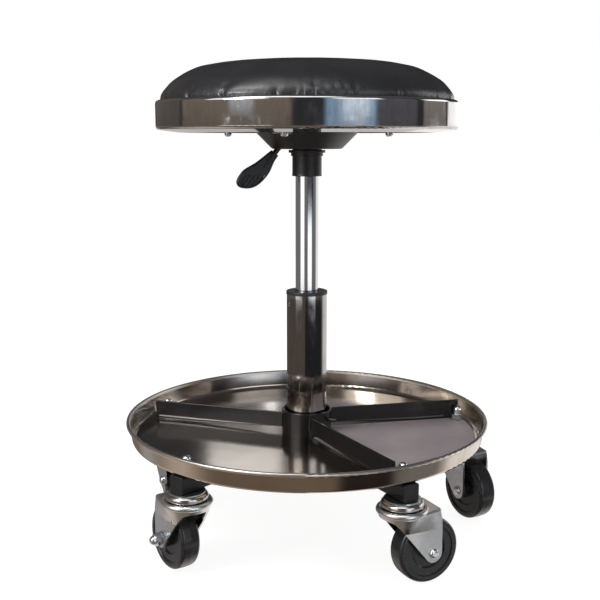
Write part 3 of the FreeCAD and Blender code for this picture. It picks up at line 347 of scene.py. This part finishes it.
def stained_ply():
    """Dark-stained plywood: long grain, pores and glue lines round the edge."""
    finish = new_finish("stained_ply")
    place = finish.place()
    x, y, z = finish.parts(place)
    bent = finish.noise(finish.vector(x * 1.5, y * 14.0, z * 4.0), 6.0, 4.0, 0.55, 1.6)
    pores = finish.noise(finish.vector(x * 30.0, y * 700.0, z * 200.0), 1.0, 3.0, 0.6)
    plies = finish.add("ShaderNodeMath", {"operation": "SINE"}, {0: z * 2600.0}) * 0.5 + 0.5
    edge = 0.1675
    rim = finish.ease((x * x + y * y) ** 0.5, edge, edge + 0.0013)
    colour = finish.mix(finish.ease(bent, 0.3, 0.7), tone(0.026, 0.021, 0.017), tone(0.058, 0.046, 0.036))
    colour = finish.mix(finish.ease(pores, 0.55, 0.75) * 0.6, colour, tone(0.012, 0.01, 0.009))
    colour = finish.mix(rim * plies * 0.7, colour, tone(0.09, 0.07, 0.052))
    finish.surface(Base_Color=colour, Roughness=0.62 + pores * 0.15, IOR=1.45,
                   Normal=finish.bump(pores + bent * 0.4, 0.00012, 0.5))
    return finish.owner


def wheel_rubber():
    """Hard black tread: satin, with fine pores, specks of dust and rolled-in scuffs."""
    finish = new_finish("wheel_black")
    place = finish.place()
    pores = finish.noise(place, 900.0, 3.0, 0.6)
    dust = finish.noise(place, 620.0, 2.0, 0.5)
    scuffs = finish.noise(place, 85.0, 6.0, 0.7, 0.6)
    colour = finish.mix(finish.ease(scuffs, 0.4, 0.75), tone(0.0100, 0.0098, 0.0112),
                        tone(0.0185, 0.0181, 0.0200))
    colour = finish.mix(finish.ease(dust, 0.755, 0.81) * 0.6, colour, tone(0.22, 0.215, 0.20))
    finish.surface(Base_Color=colour, Roughness=0.20 + scuffs * 0.14, IOR=1.52,
                   Normal=finish.bump(pores * 0.5 + scuffs, 0.00005, 0.45))
    return finish.owner


def seat_foam():
    """Open-cell foam: round pores and a yellowed skin."""
    finish = new_finish("seat_foam")
    place = finish.place()
    pores = finish.add("ShaderNodeTexVoronoi", {"feature": "F1"}, {"Vector": place, "Scale": 900.0})
    age = finish.noise(place, 18.0, 4.0, 0.6)
    colour = finish.mix(age, tone(0.72, 0.66, 0.48), tone(0.80, 0.76, 0.62))
    finish.surface(Base_Color=colour, Roughness=0.9 + age * 0.05, Normal=finish.bump(pores, 0.0004, 0.6))
    return finish.owner


# Mesh building
def skin(name, points, material, close_round=False, pole_first=False, pole_last=False):
    """Mesh over a grid of points (rows, columns, 3). Columns may join into a ring. A pole closes the first
    or last row on the mean of its points."""
    rows, columns = points.shape[:2]
    grid = np.arange(rows * columns).reshape(rows, columns)
    across = np.concatenate([grid, grid[:, :1]], axis=1) if close_round else grid
    quads = np.stack([across[:-1, :-1], across[1:, :-1], across[1:, 1:], across[:-1, 1:]], axis=-1)
    faces = [quads.reshape(-1, 4).tolist()]
    spots = [points.reshape(-1, 3)]
    total = rows * columns
    for wanted, ring, turned in ((pole_first, across[0], False), (pole_last, across[-1], True)):
        if wanted:
            spots.append(points[-1 if turned else 0].mean(axis=0)[None, :])
            pole = np.full(len(ring) - 1, total)
            total += 1
            pair = (ring[1:], ring[:-1]) if turned else (ring[:-1], ring[1:])
            faces.append(np.stack([pole, pair[0], pair[1]], axis=-1).tolist())
    mesh = bpy.data.meshes.new(name)
    mesh.from_pydata(np.concatenate(spots).tolist(), [], [face for group in faces for face in group])
    mesh.polygons.foreach_set("use_smooth", np.ones(len(mesh.polygons), bool))
    mesh.update()
    mesh.materials.append(material)
    piece = bpy.data.objects.new(name, mesh)
    bpy.context.scene.collection.objects.link(piece)
    return piece


def drawn_line(corners, count, rounds=3):
    """Evenly spaced points on a line through corners, smoothed by repeated 1-2-1 means."""
    corners = np.asarray(corners, float)
    run = np.concatenate([[0.0], np.cumsum(np.linalg.norm(np.diff(corners, axis=0), axis=1))])
    where = np.linspace(0.0, run[-1], count)
    line = np.stack([np.interp(where, run, corners[:, axis]) for axis in range(corners.shape[1])], axis=1)
    for _ in range(rounds):
        line[1:-1] = (line[:-2] + 2.0 * line[1:-1] + line[2:]) / 4.0
    return line


def carried(name, path, radii, sides, material):
    """Tube with closed ends: a circle of the given radius at each point of the path, square to the path."""
    path = np.asarray(path, float)
    along = np.gradient(path, axis=0)
    along /= np.linalg.norm(along, axis=1)[:, None]
    lean = np.where(np.abs(along[:, 2:3]) < 0.9, [[0.0, 0.0, 1.0]], [[1.0, 0.0, 0.0]])
    side = np.cross(along, lean)
    side /= np.linalg.norm(side, axis=1)[:, None]
    over = np.cross(along, side)
    turn = np.linspace(0.0, 2.0 * math.pi, sides, endpoint=False)
    ring = np.cos(turn)[None, :, None] * side[:, None, :] + np.sin(turn)[None, :, None] * over[:, None, :]
    points = path[:, None, :] + ring * np.asarray(radii)[:, None, None]
    return skin(name, points, material, close_round=True, pole_first=True, pole_last=True)


# Padded cover
cover_top = 0.577
cover_shapes = [(0.0, cover_top), (0.030, 0.5767), (0.055, 0.5758), (0.085, 0.5741), (0.111, 0.5716),
                (0.133, 0.5668), (0.151, 0.5600), (0.1625, 0.5525), (0.1700, 0.5440), (0.1740, 0.5355),
                (0.1736, 0.5300), (0.1722, 0.5270), (0.1722, 0.5160), (0.1690, 0.5115), (0.1600, 0.5100),
                (0.0, 0.5100)]
cover_reach = 0.174
held_line = 0.5295      # the band holds the cloth below this height
slack_line = 0.532      # above this the cloth starts lower than the pad's line
cloth_slack = 0.0010
cloth_swell = 0.0014    # the most that a point of the cloth moves
cloth_pressure = 3.0
cloth_steps = 14
tuck_line = 0.5265      # the tucks begin at this height, behind the band
tuck_seed = 7
photo_tucks = [-48.0, -30.3, -10.6, -4.0, -1.3, 2.5, 6.0, 9.5, 13.0, 16.9, 34.3, 54.8]
fine_tucks = (-5.0, 20.0)
hidden_tucks = (68.0, 295.0)


def cover_tucks(seed):
    """Where the cover is gathered under the band: angle from the front, width, depth and height of each
    tuck. The front ones stand where the photo has them, and the others follow at uneven steps."""
    rng = np.random.default_rng(seed)
    angles = list(photo_tucks)
    angle = hidden_tucks[0]
    while angle < hidden_tucks[1]:
        angles.append(angle)
        angle += rng.uniform(9.0, 21.0)
    angles = np.radians(np.array(angles))
    count = len(angles)
    widths = rng.uniform(0.0013, 0.0024, count)
    depths = rng.uniform(0.0010, 0.0021, count)
    heights = rng.uniform(0.007, 0.016, count)
    fine = (angles > math.radians(fine_tucks[0])) & (angles < math.radians(fine_tucks[1]))
    widths[fine] *= 0.7
    depths[fine] *= 0.5
    return angles, widths, depths, heights


def tuck_depth(turn, height, tucks):
    """How far the cover is drawn in at an angle and a height over the band: a bell-shaped valley for each
    tuck with a low swell on both sides, dying out upwards."""
    total = np.zeros_like(height)
    for angle, width, depth, reach in zip(*tucks):
        off = (np.mod(turn - angle + math.pi, 2.0 * math.pi) - math.pi) * cover_reach
        fade = np.exp(-np.maximum(height, 0.0) / reach)
        spread = width * (1.0 + np.maximum(height, 0.0) / 0.006)
        valley = np.exp(-(off / spread) ** 2)
        swell = np.exp(-((np.abs(off) - 2.4 * spread) / (1.4 * spread)) ** 2)
        total += depth * fade * (valley - 0.33 * swell)
    return total


def swollen(piece, held, cap, pressure, frames):
    """Blows the piece up as cloth: the held points stay, the rest moves by up to cap. Gives all points."""
    group = piece.vertex_groups.new(name="held")
    group.add([int(i) for i in np.nonzero(held)[0]], 1.0, "REPLACE")
    rest = mesh_points(piece.data)
    cloth = piece.modifiers.new("cloth", "CLOTH")
    cloth.settings.quality = 6
    cloth.settings.mass = 0.25
    cloth.settings.tension_stiffness = 22.0
    cloth.settings.compression_stiffness = 12.0
    cloth.settings.shear_stiffness = 6.0
    cloth.settings.bending_stiffness = 0.6
    cloth.settings.use_pressure = True
    cloth.settings.uniform_pressure_force = pressure
    cloth.settings.vertex_group_mass = "held"
    cloth.settings.effector_weights.gravity = 0.0
    cloth.point_cache.frame_start = 1
    cloth.point_cache.frame_end = frames
    for step in range(1, frames + 1):
        bpy.context.scene.frame_set(step)
    blown = mesh_points(piece.evaluated_get(bpy.context.evaluated_depsgraph_get()).data)
    move = blown - rest
    length = np.linalg.norm(move, axis=1)
    move *= np.minimum(1.0, cap / np.maximum(length, 1e-9))[:, None]
    bpy.context.scene.frame_set(1)
    return rest + move


def mesh_points(mesh):
    """All points of a mesh, as rows of three."""
    spots = np.empty(len(mesh.vertices) * 3)
    mesh.vertices.foreach_get("co", spots)
    return spots.reshape(-1, 3)


def halved(points, ring):
    """Twice as many points along the first axis, the new ones on the cubic through their four neighbours."""
    if ring:
        before, after, last = np.roll(points, 1, 0), np.roll(points, -1, 0), np.roll(points, -2, 0)
        middle = (9.0 * (points + after) - before - last) / 16.0
        return np.stack([points, middle], axis=1).reshape(-1, *points.shape[1:])
    wide = np.concatenate([points[:1] * 2.0 - points[1:2], points, points[-1:] * 2.0 - points[-2:-1]])
    middle = (9.0 * (wide[1:-2] + wide[2:-1]) - wide[:-3] - wide[3:]) / 16.0
    both = np.stack([points[:-1], middle], axis=1).reshape(-1, *points.shape[1:])
    return np.concatenate([both, points[-1:]])


def tuck_columns(tucks, count):
    """Angles of the cover's columns: evenly spread, but closer where the tucks are."""
    fine = np.linspace(-math.pi, math.pi, 20001)
    crowd = np.ones_like(fine)
    for angle, width in zip(tucks[0], tucks[1]):
        off = (np.mod(fine - angle + math.pi, 2.0 * math.pi) - math.pi) * cover_reach
        crowd += 5.0 * np.exp(-(off / (3.5 * width)) ** 2)
    share = np.concatenate([[0.0], np.cumsum((crowd[1:] + crowd[:-1]) / 2.0)])
    return np.interp(np.arange(count) / count, share / share[-1], fine)


def padded_cover(material):
    """Cover over the foam: the pad's side line turned about the column, blown up as cloth, then tucked at
    the band. Its rows are closest at the band."""
    tucks = cover_tucks(tuck_seed)
    line = drawn_line(cover_shapes, 150, 2)
    keep = np.unique(np.concatenate([np.arange(3, 62, 4), np.arange(62, 84, 2), np.arange(84, 106),
                                     np.arange(106, 149, 6)]))
    line = line[keep]
    turn = tuck_columns(tucks, 360)
    points = np.stack([line[:, :1] * np.sin(turn)[None, :], -line[:, :1] * np.cos(turn)[None, :],
                       np.repeat(line[:, 1:], len(turn), axis=1)], axis=-1)
    points[:, :, 2] -= np.where(points[:, :, 2] > slack_line, cloth_slack, 0.0)
    flat = skin("cover_cloth", points, material, close_round=True, pole_first=True, pole_last=True)
    held = mesh_points(flat.data)[:, 2] < held_line
    blown = swollen(flat, held, cloth_swell, cloth_pressure, cloth_steps)
    points = blown[:points.shape[0] * points.shape[1]].reshape(points.shape)
    bpy.data.objects.remove(flat)
    points = halved(points, False)
    points = halved(points.transpose(1, 0, 2), True).transpose(1, 0, 2)
    away = np.hypot(points[:, :, 0], points[:, :, 1])
    angle = np.arctan2(points[:, :, 0], -points[:, :, 1])
    above = points[:, :, 2]
    draw = tuck_depth(angle, above - band_line, tucks)
    draw *= np.clip((above - tuck_line) / 0.003, 0.0, 1.0) * np.clip(away / 0.12, 0.0, 1.0)
    ripple = 0.00045 * np.sin(angle * 7.0 + 0.8) + 0.0003 * np.sin(angle * 13.0 + 2.1)
    ripple *= np.exp(-((away - 0.15) / 0.03) ** 2) * np.clip((above - band_line) / 0.004, 0.0, 1.0)
    lean = np.clip((above - 0.535) / 0.035, 0.0, 1.0)
    out = np.stack([np.sin(angle) * (1.0 - lean), -np.cos(angle) * (1.0 - lean), lean], axis=-1)
    points -= out * (draw + ripple)[:, :, None]
    return skin("padded_cover", points, material, close_round=True, pole_first=True, pole_last=True)


# Weld beads
def weld_bead(name, start, end, radius, material, seed):
    """Bead between two points: a tube whose radius rises and falls as the torch stepped along, with a
    slight waver."""
    rng = np.random.default_rng(seed)
    start = np.asarray(start, float)
    end = np.asarray(end, float)
    length = np.linalg.norm(end - start)
    count = max(12, int(length / 0.0005))
    share = np.linspace(0.0, 1.0, count)
    steps = length / (radius * 1.25)
    scallop = np.abs(np.sin(share * steps * math.pi + rng.uniform(0.0, 3.0)))
    radii = radius * (0.82 + 0.2 * scallop + rng.normal(0.0, 0.02, count))
    radii *= np.clip(np.minimum(share, 1.0 - share) * 14.0, 0.25, 1.0) ** 0.5
    path = start + (end - start) * share[:, None]
    path[:, :2] += (0.12 * radius * np.sin(share * 9.0 + rng.uniform(0.0, 6.0)))[:, None]
    return carried(name, path, radii, 10, material)


def spun_point(x, y, z, angle, mirrored=False):
    """A point drawn along +X, mirrored over the X axis if asked, then turned about the column."""
    if mirrored:
        y = -y
    return (x * math.cos(angle) - y * math.sin(angle), x * math.sin(angle) + y * math.cos(angle), z)


# The divider's arms and collar, the legs and their socket, where the CAD pieces have them
arm_angles = [13.0, 162.4, 299.0]
arm_offsets = [0.010, 0.0128, 0.010]
arm_mirrored = [False, False, True]
arm_half = 0.0015
collar_radius = 0.031
arm_low = 0.1277
arm_high = 0.1467
leg_half = 0.010
leg_low = 0.1005
socket_radius = 0.030
arm_bead = 0.0013
leg_bead = 0.0021
leg_bead_reach = 0.0088


def divider_welds(material):
    """A bead up each side of each arm where it meets the collar."""
    beads = []
    for i, angle in enumerate(arm_angles):
        for side in (-1.0, 1.0):
            y = arm_offsets[i] + side * (arm_half + 0.0004)
            x = math.sqrt((collar_radius + 0.0004) ** 2 - y * y)
            low = spun_point(x, y, arm_low + 0.0008, math.radians(angle), arm_mirrored[i])
            high = spun_point(x, y, arm_high - 0.0012, math.radians(angle), arm_mirrored[i])
            beads.append(weld_bead("divider_weld_%d" % len(beads), low, high, arm_bead, material,
                                   20 + len(beads)))
    return beads


def leg_welds(material):
    """Beads that hold each leg to the column's socket: one up each side and one underneath."""
    beads = []
    for i in range(5):
        angle = math.radians(leg_first + leg_step * i)
        for side in (-1.0, 1.0):
            y = side * (leg_half + 0.0006)
            x = math.sqrt((socket_radius + 0.0006) ** 2 - y * y)
            low = spun_point(x, y, leg_low + 0.0005, angle)
            high = spun_point(x, y, leg_low + 0.0185, angle)
            beads.append(weld_bead("leg_weld_%d" % len(beads), low, high, leg_bead, material,
                                   40 + len(beads)))
        x = socket_radius + 0.0006
        start = spun_point(x, -leg_bead_reach, leg_low - 0.0004, angle)
        end = spun_point(x, leg_bead_reach, leg_low - 0.0004, angle)
        beads.append(weld_bead("leg_weld_%d" % len(beads), start, end, leg_bead, material,
                               40 + len(beads)))
    return beads


# Feet under the divider's arms, the mat and the spring wire
tray_floor = 0.1217
arm_reach = 0.2035
mat_clear = 0.0018      # from the mat's edges to the middles of the arms
mat_gap = 0.00002       # between the tray's floor and the mat
mat_thick = 0.00098
wire_radius = 0.00055


def arm_foot(index, material):
    """Wedge under one arm: an oblong section carried outwards, its foot going from the arm's own edge at the
    collar down to the tray's floor at the wall."""
    share = np.linspace(0.0, 1.0, 40)
    start = collar_radius + 0.004
    away = start + (arm_reach - start) * share
    foot = arm_low + 0.0002 - (arm_low - tray_floor - 0.0006) * np.clip(share * 1.5, 0.0, 1.0) ** 0.9
    across = np.array([-1.0, -1.0, -0.72, 0.72, 1.0, 1.0]) * (arm_half - 0.0001)
    level = np.array([0.0, 0.86, 1.0, 1.0, 0.86, 0.0])
    x = np.repeat(np.sqrt(away ** 2 - arm_offsets[index] ** 2)[:, None], len(across), axis=1)
    y = np.broadcast_to(arm_offsets[index] + across, x.shape)
    z = (arm_low + 0.0006) + (foot[:, None] - arm_low - 0.0006) * level[None, :]
    if arm_mirrored[index]:
        x, y, z = x[::-1], -y[::-1], z[::-1]
    turn = math.radians(arm_angles[index])
    points = np.stack([x * math.cos(turn) - y * math.sin(turn), x * math.sin(turn) + y * math.cos(turn), z],
                      axis=-1)
    return skin("arm_foot_%d" % index, points, material, close_round=True, pole_first=True, pole_last=True)


def laid_mat(material):
    """Mat in the right-hand compartment: its low rounded section is carried round the column from one arm to
    the next, and its rim follows the tray's corner."""
    step = np.linspace(0.0, 1.0, 220)
    away = np.concatenate([np.linspace(0.0335, 0.2096, 150), [0.2101, 0.2103, 0.2101, 0.2096],
                           np.linspace(0.2096, 0.0335, 30), [0.0330, 0.0328, 0.0330]])
    level = np.concatenate([np.full(150, 1.0), [0.85, 0.5, 0.15, 0.0], np.full(30, 0.0), [0.15, 0.5, 0.85]])
    first = math.radians(arm_angles[2]) - np.arcsin((arm_offsets[2] - mat_clear) / away)
    last = math.radians(arm_angles[0] + 360.0) + np.arcsin((arm_offsets[0] - mat_clear) / away)
    turn = first[None, :] + (last - first)[None, :] * step[:, None]
    z = np.broadcast_to(tray_floor + mat_gap + mat_thick * level, turn.shape)
    points = np.stack([away[None, :] * np.cos(turn), away[None, :] * np.sin(turn), z], axis=-1)
    return skin("laid_mat", points, material, close_round=True, pole_first=True, pole_last=True)


def spring_wire(material):
    """Bent wire clipped under the front of the seat plate: a round section carried along rounded corners."""
    corners = [(-0.0392, -0.1080, 0.4949), (-0.0378, -0.1093, 0.4947), (-0.0372, -0.1100, 0.4926),
               (-0.0350, -0.1108, 0.4923), (-0.0312, -0.1119, 0.4925), (-0.0294, -0.1126, 0.4934),
               (-0.0280, -0.1131, 0.4946), (-0.0250, -0.1134, 0.4948), (-0.0215, -0.1139, 0.4948),
               (-0.0196, -0.1142, 0.4944), (-0.0186, -0.1144, 0.4924), (-0.0174, -0.1145, 0.4921),
               (-0.0168, -0.1140, 0.4934)]
    path = drawn_line(corners, 140, 8)
    radii = np.full(len(path), wire_radius)
    radii[:3] = [0.0003, 0.00045, 0.00052]
    radii[-3:] = [0.00052, 0.00045, 0.0003]
    return carried("spring_wire", path, radii, 12, material)


# Dressing the frame
legs = ["right", "rear", "left", "front_left", "front_right"]

paint = black_paint("black_paint", 0.0062, 0.17, 0.5)
frame_paint = black_paint("frame_paint", 0.0052, 0.32, 0.8)
plate_paint = black_paint("plate_paint", 0.0055, 0.38, 0.3)
fork_zinc = zinc_plate("fork_zinc", tone(0.74, 0.75, 0.77), tone(0.64, 0.65, 0.67), 0.27, 0.0006, 0.0225)
bearing_zinc = zinc_plate("bearing_zinc", tone(0.52, 0.50, 0.485), tone(0.45, 0.435, 0.425), 0.15, 0.00003,
                          0.04)
nut_zinc = zinc_plate("nut_zinc", tone(0.76, 0.79, 0.80), tone(0.66, 0.69, 0.71), 0.14, 0.00005, -1.0)
washer_zinc = zinc_plate("washer_zinc", tone(0.47, 0.55, 0.57), tone(0.40, 0.46, 0.48), 0.26, 0.00005, -1.0)
steel = turned_steel("turned_steel", 0.66, 0.16)
wheel = wheel_rubber()

finishes = {
    "seat_band": smoked_chrome("band_chrome", tone(0.55, 0.54, 0.535), tone(0.48, 0.465, 0.46), 0.13,
                               0.5070, 0.5265),
    "column_tube": smoked_chrome("column_chrome", tone(0.46, 0.44, 0.42), tone(0.40, 0.38, 0.365), 0.07,
                                 0.130, 0.296),
    "gas_tube": bright_chrome(),
    "tray": tray_nickel(),
    "tray_mat": mat_rubber(),
    "tray_divider": paint, "lever_rod": paint,
    "legs": frame_paint, "hub_socket": frame_paint,
    "mechanism_plate": plate_paint, "taper_socket": plate_paint,
    "leg_plugs": black_plastic("plug_plastic", 0.0055, 0.42, 900.0),
    "column_bush": black_plastic("bush_plastic", 0.014, 0.40, 1300.0),
    "lever_grip": black_plastic("grip_plastic", 0.0085, 0.30, 1100.0),
    "castor_stems": nut_zinc, "castor_cups": bearing_zinc, "castor_washers": washer_zinc,
    "castor_balls": steel, "stem_nuts": nut_zinc, "stem_washers": washer_zinc,
    "seat_screws": nut_zinc, "seat_washers": washer_zinc, "tee_nuts": nut_zinc,
    "piston_rod": steel, "piston_head": steel, "thrust_bearing": steel, "rod_clip": steel,
    "rod_guide": steel, "valve_button": steel, "lever_pivot_pin": steel,
    "seat_board": stained_ply(),
    "cushion_foam": seat_foam(),
    "cushion_cover": cover_vinyl(),
}
for leg in legs:
    finishes[leg + "_yoke"] = fork_zinc
    finishes[leg + "_wheel"] = wheel
    finishes[leg + "_axle_bolt"] = nut_zinc
    finishes[leg + "_axle_nut"] = nut_zinc
    finishes[leg + "_hub_sleeve"] = steel

for name, piece in nodes.items():
    piece.data.materials.clear()
    piece.data.materials.append(finishes[name])

cover = padded_cover(finishes["cushion_cover"])
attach(cover, "seat")
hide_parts("cushion_cover", "cushion_foam")

mat = laid_mat(finishes["tray_mat"])
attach(mat, "base")
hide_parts("tray_mat")

wire = spring_wire(nut_zinc)
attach(wire, "seat")

trims = divider_welds(paint) + leg_welds(frame_paint)
trims += [arm_foot(i, paint) for i in range(len(arm_angles))]
for trim in trims:
    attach(trim, "base")


# Stage, light and camera
def studio():
    """White to the camera. Metal and gloss see a dim room with dark gaps, brown walls, a cool window at the
    front right and pale boards low on the left, at the back and beside the lift. Matt surfaces get one even
    level. Each panel has its left and right side and softness, its low and high side and softness, and its
    colour, with angles in degrees: sideways from the front towards +X, and up from the level."""
    world = bpy.data.worlds.new("studio")
    bpy.context.scene.world = world
    finish = Finish(world)
    x, y, z = finish.parts(finish.add("ShaderNodeTexCoord", output="Generated"))
    side = finish.add("ShaderNodeMath", {"operation": "ARCTAN2"}, {0: x, 1: y * -1.0}) * (180.0 / math.pi)
    rise = finish.add("ShaderNodeMath", {"operation": "ARCSINE"}, {0: z}) * (180.0 / math.pi)
    room = tone(0.042, 0.041, 0.046)
    brown = tone(0.25, 0.205, 0.165)
    white = tone(1.5, 1.5, 1.5)
    all_round = (-400.0, 400.0, 1.0)
    panels = [
        (all_round, (32.0, 120.0, 10.0), tone(0.095, 0.095, 0.102)),
        ((-104.0, -11.0, 2.5), (0.0, 32.0, 3.0), brown),
        ((-158.0, -107.0, 1.5), (0.0, 32.0, 3.0), tone(0.15, 0.13, 0.115)),
        ((52.0, 87.0, 2.0), (0.0, 24.0, 3.0), tone(0.13, 0.125, 0.145)),
        ((94.0, 124.0, 1.5), (0.0, 24.0, 3.0), tone(0.31, 0.28, 0.25)),
        ((13.0, 51.0, 3.0), (0.0, 32.0, 1.4), tone(0.32, 0.46, 0.64)),
        ((26.0, 45.0, 6.0), (1.2, 32.0, 0.6), tone(1.05, 1.20, 1.38)),
        ((-58.0, -39.0, 3.0), (1.6, 32.0, 0.5), tone(0.50, 0.52, 0.56)),
        ((-78.0, -30.0, 4.0), (5.0, 36.0, 2.5), tone(1.6, 1.6, 1.6)),
        ((20.0, 56.0, 4.0), (5.0, 32.0, 2.5), tone(1.7, 1.75, 1.8)),
        ((98.0, 130.0, 5.0), (5.5, 22.0, 3.0), tone(2.2, 2.2, 2.2)),
        ((128.0, 400.0, 2.0), (0.0, 6.0, 1.0), white),
        (all_round, (-9.7, -0.4, 0.5), tone(0.19, 0.18, 0.18)),
        ((-66.0, -26.0, 4.0), (-9.7, -0.2, 0.5), white),
        ((9.0, 50.0, 5.0), (-9.7, -4.6, 0.4), tone(1.6, 1.7, 1.85)),
        ((4.0, 66.0, 5.0), (-4.2, -0.6, 0.4), tone(0.02, 0.02, 0.024)),
        ((102.0, 400.0, 12.0), (-18.5, 0.3, 0.6), tone(1.0, 1.0, 1.0)),
        ((-400.0, -160.0, 2.0), (-19.0, 0.4, 0.6), tone(0.55, 0.54, 0.53)),
        ((168.0, 400.0, 3.0), (-19.0, -9.7, 0.6), tone(0.62, 0.61, 0.60)),
        ((-150.0, -10.0, 2.0), (-19.0, -9.8, 0.6), tone(0.125, 0.108, 0.094)),
        ((-8.0, 84.0, 3.0), (-19.0, -9.6, 0.6), tone(0.028, 0.028, 0.032)),
        (all_round, (-90.0, -19.5, 1.5), tone(0.21, 0.165, 0.125)),
        ((-155.0, -78.0, 13.0), (-90.0, -30.5, 3.0), tone(0.64, 0.55, 0.47)),
        ((22.0, 64.0, 6.0), (-90.0, -31.0, 1.5), tone(0.025, 0.02, 0.02)),
        ((64.0, 100.0, 6.0), (-90.0, -31.0, 1.5), tone(0.24, 0.23, 0.22)),
        ((18.0, 96.0, 8.0), (-29.0, -19.5, 1.5), tone(0.80, 0.80, 0.81)),
        ((-140.0, -84.0, 8.0), (-29.0, -19.5, 2.0), tone(0.42, 0.41, 0.41)),
        ((104.0, 400.0, 8.0), (-90.0, -19.5, 3.0), tone(1.1, 1.06, 1.02)),
        ((-82.0, 36.0, 10.0), (47.0, 80.0, 7.0), tone(2.2, 2.2, 2.2)),
    ]
    seen = room
    for (left, right, soft), (low, high, blur), colour in panels:
        share = finish.between(side, left, right, soft) * finish.between(rise, low, high, blur)
        seen = finish.mix(share, seen, colour)
    path = finish.add("ShaderNodeLightPath", output="Is Diffuse Ray")
    seen = finish.mix(path, seen, tone(0.60, 0.60, 0.60))
    camera_ray = finish.add("ShaderNodeLightPath", output="Is Camera Ray")
    seen = finish.mix(camera_ray, seen, tone(1.0, 1.0, 1.0))
    finish.add_output(finish.add("ShaderNodeBackground", None, {"Color": seen, "Strength": 1.0}),
                      "ShaderNodeOutputWorld")


def floor_disc():
    """Pale round floor: white to the camera with the object's faint soft shadow, nothing seen from below."""
    turn = np.linspace(0.0, 2.0 * math.pi, 96, endpoint=False)
    reach = np.array([0.5, 3.0, 40.0])[:, None]
    points = np.stack([reach * np.cos(turn), reach * np.sin(turn), np.full((3, 96), -0.0006)], axis=-1)
    finish = new_finish("studio_floor")
    plain = finish.add("ShaderNodeBsdfDiffuse", None, {"Color": tone(0.92, 0.92, 0.92)})
    glow = finish.add("ShaderNodeEmission", None, {"Color": tone(1.0, 1.0, 1.0), "Strength": 1.13})
    camera_ray = finish.add("ShaderNodeLightPath", output="Is Camera Ray")
    lit = finish.add("ShaderNodeMixShader", None, {0: camera_ray * 0.8, 1: plain, 2: glow})
    behind = finish.add("ShaderNodeNewGeometry", output="Backfacing")
    clear = finish.add("ShaderNodeBsdfTransparent")
    finish.add_output(finish.add("ShaderNodeMixShader", None, {0: behind, 1: lit, 2: clear}))
    floor = skin("studio_floor", points, finish.owner, close_round=True, pole_first=True)
    floor.visible_glossy = False


def soft_lamp(name, place, aim, width, height, power, shines=False):
    """Oblong soft lamp that faces the point it is aimed at. If it shines, gloss and metal mirror it."""
    lamp = bpy.data.lights.new(name, "AREA")
    lamp.shape = "RECTANGLE"
    lamp.size = width
    lamp.size_y = height
    lamp.energy = power
    holder = bpy.data.objects.new(name, lamp)
    bpy.context.scene.collection.objects.link(holder)
    way = np.asarray(aim, float) - np.asarray(place, float)
    flat = math.hypot(way[0], way[1])
    holder.location = place
    holder.rotation_euler = (math.atan2(flat, -way[2]), 0.0, math.atan2(-way[0], way[1]))
    holder.visible_glossy = shines
    holder.visible_camera = False


studio()
floor_disc()
soft_lamp("key_lamp", (-1.45, -1.2, 2.3), (0.0, 0.0, 0.3), 0.8, 0.8, 22.0, True)
soft_lamp("side_lamp", (-0.80, -0.66, 0.75), (0.0, 0.0, 0.5), 0.25, 0.21, 3.9, True)
soft_lamp("fill_lamp", (1.6, -1.2, 1.2), (0.0, 0.0, 0.3), 1.4, 1.4, 14.0)
soft_lamp("back_lamp", (0.4, 1.8, 1.8), (0.0, 0.0, 0.3), 1.4, 1.4, 16.0)
soft_lamp("left_board", (-0.20, 1.8, 0.82), (-0.10, -0.1, 0.122), 0.24, 0.15, 0.17, True)
soft_lamp("middle_board", (-0.11, 1.8, 0.57), (-0.05, 0.1, 0.122), 0.15, 0.08, 0.010, True)
soft_lamp("right_board", (0.085, 1.8, 0.57), (0.08, 0.1, 0.122), 0.16, 0.09, 0.016, True)
soft_lamp("slit", (-0.115, 1.79, 0.57), (-0.05, 0.1, 0.122), 0.03, 0.09, 0.03, True)
soft_lamp("low_board", (0.27, -0.47, 0.012), (0.12, -0.16, 0.09), 0.12, 0.05, 0.06, True)

camera = bpy.data.cameras.new("camera")
camera.sensor_width = 36.0
camera.lens = 56.9
camera.clip_end = 200.0
holder = bpy.data.objects.new("camera", camera)
bpy.context.scene.collection.objects.link(holder)
holder.location = (0.0, -1.158, 0.4873)
holder.rotation_euler = (1.4013, 0.0, 0.0073)
bpy.context.scene.camera = holder
bpy.context.scene.view_settings.view_transform = "Standard"
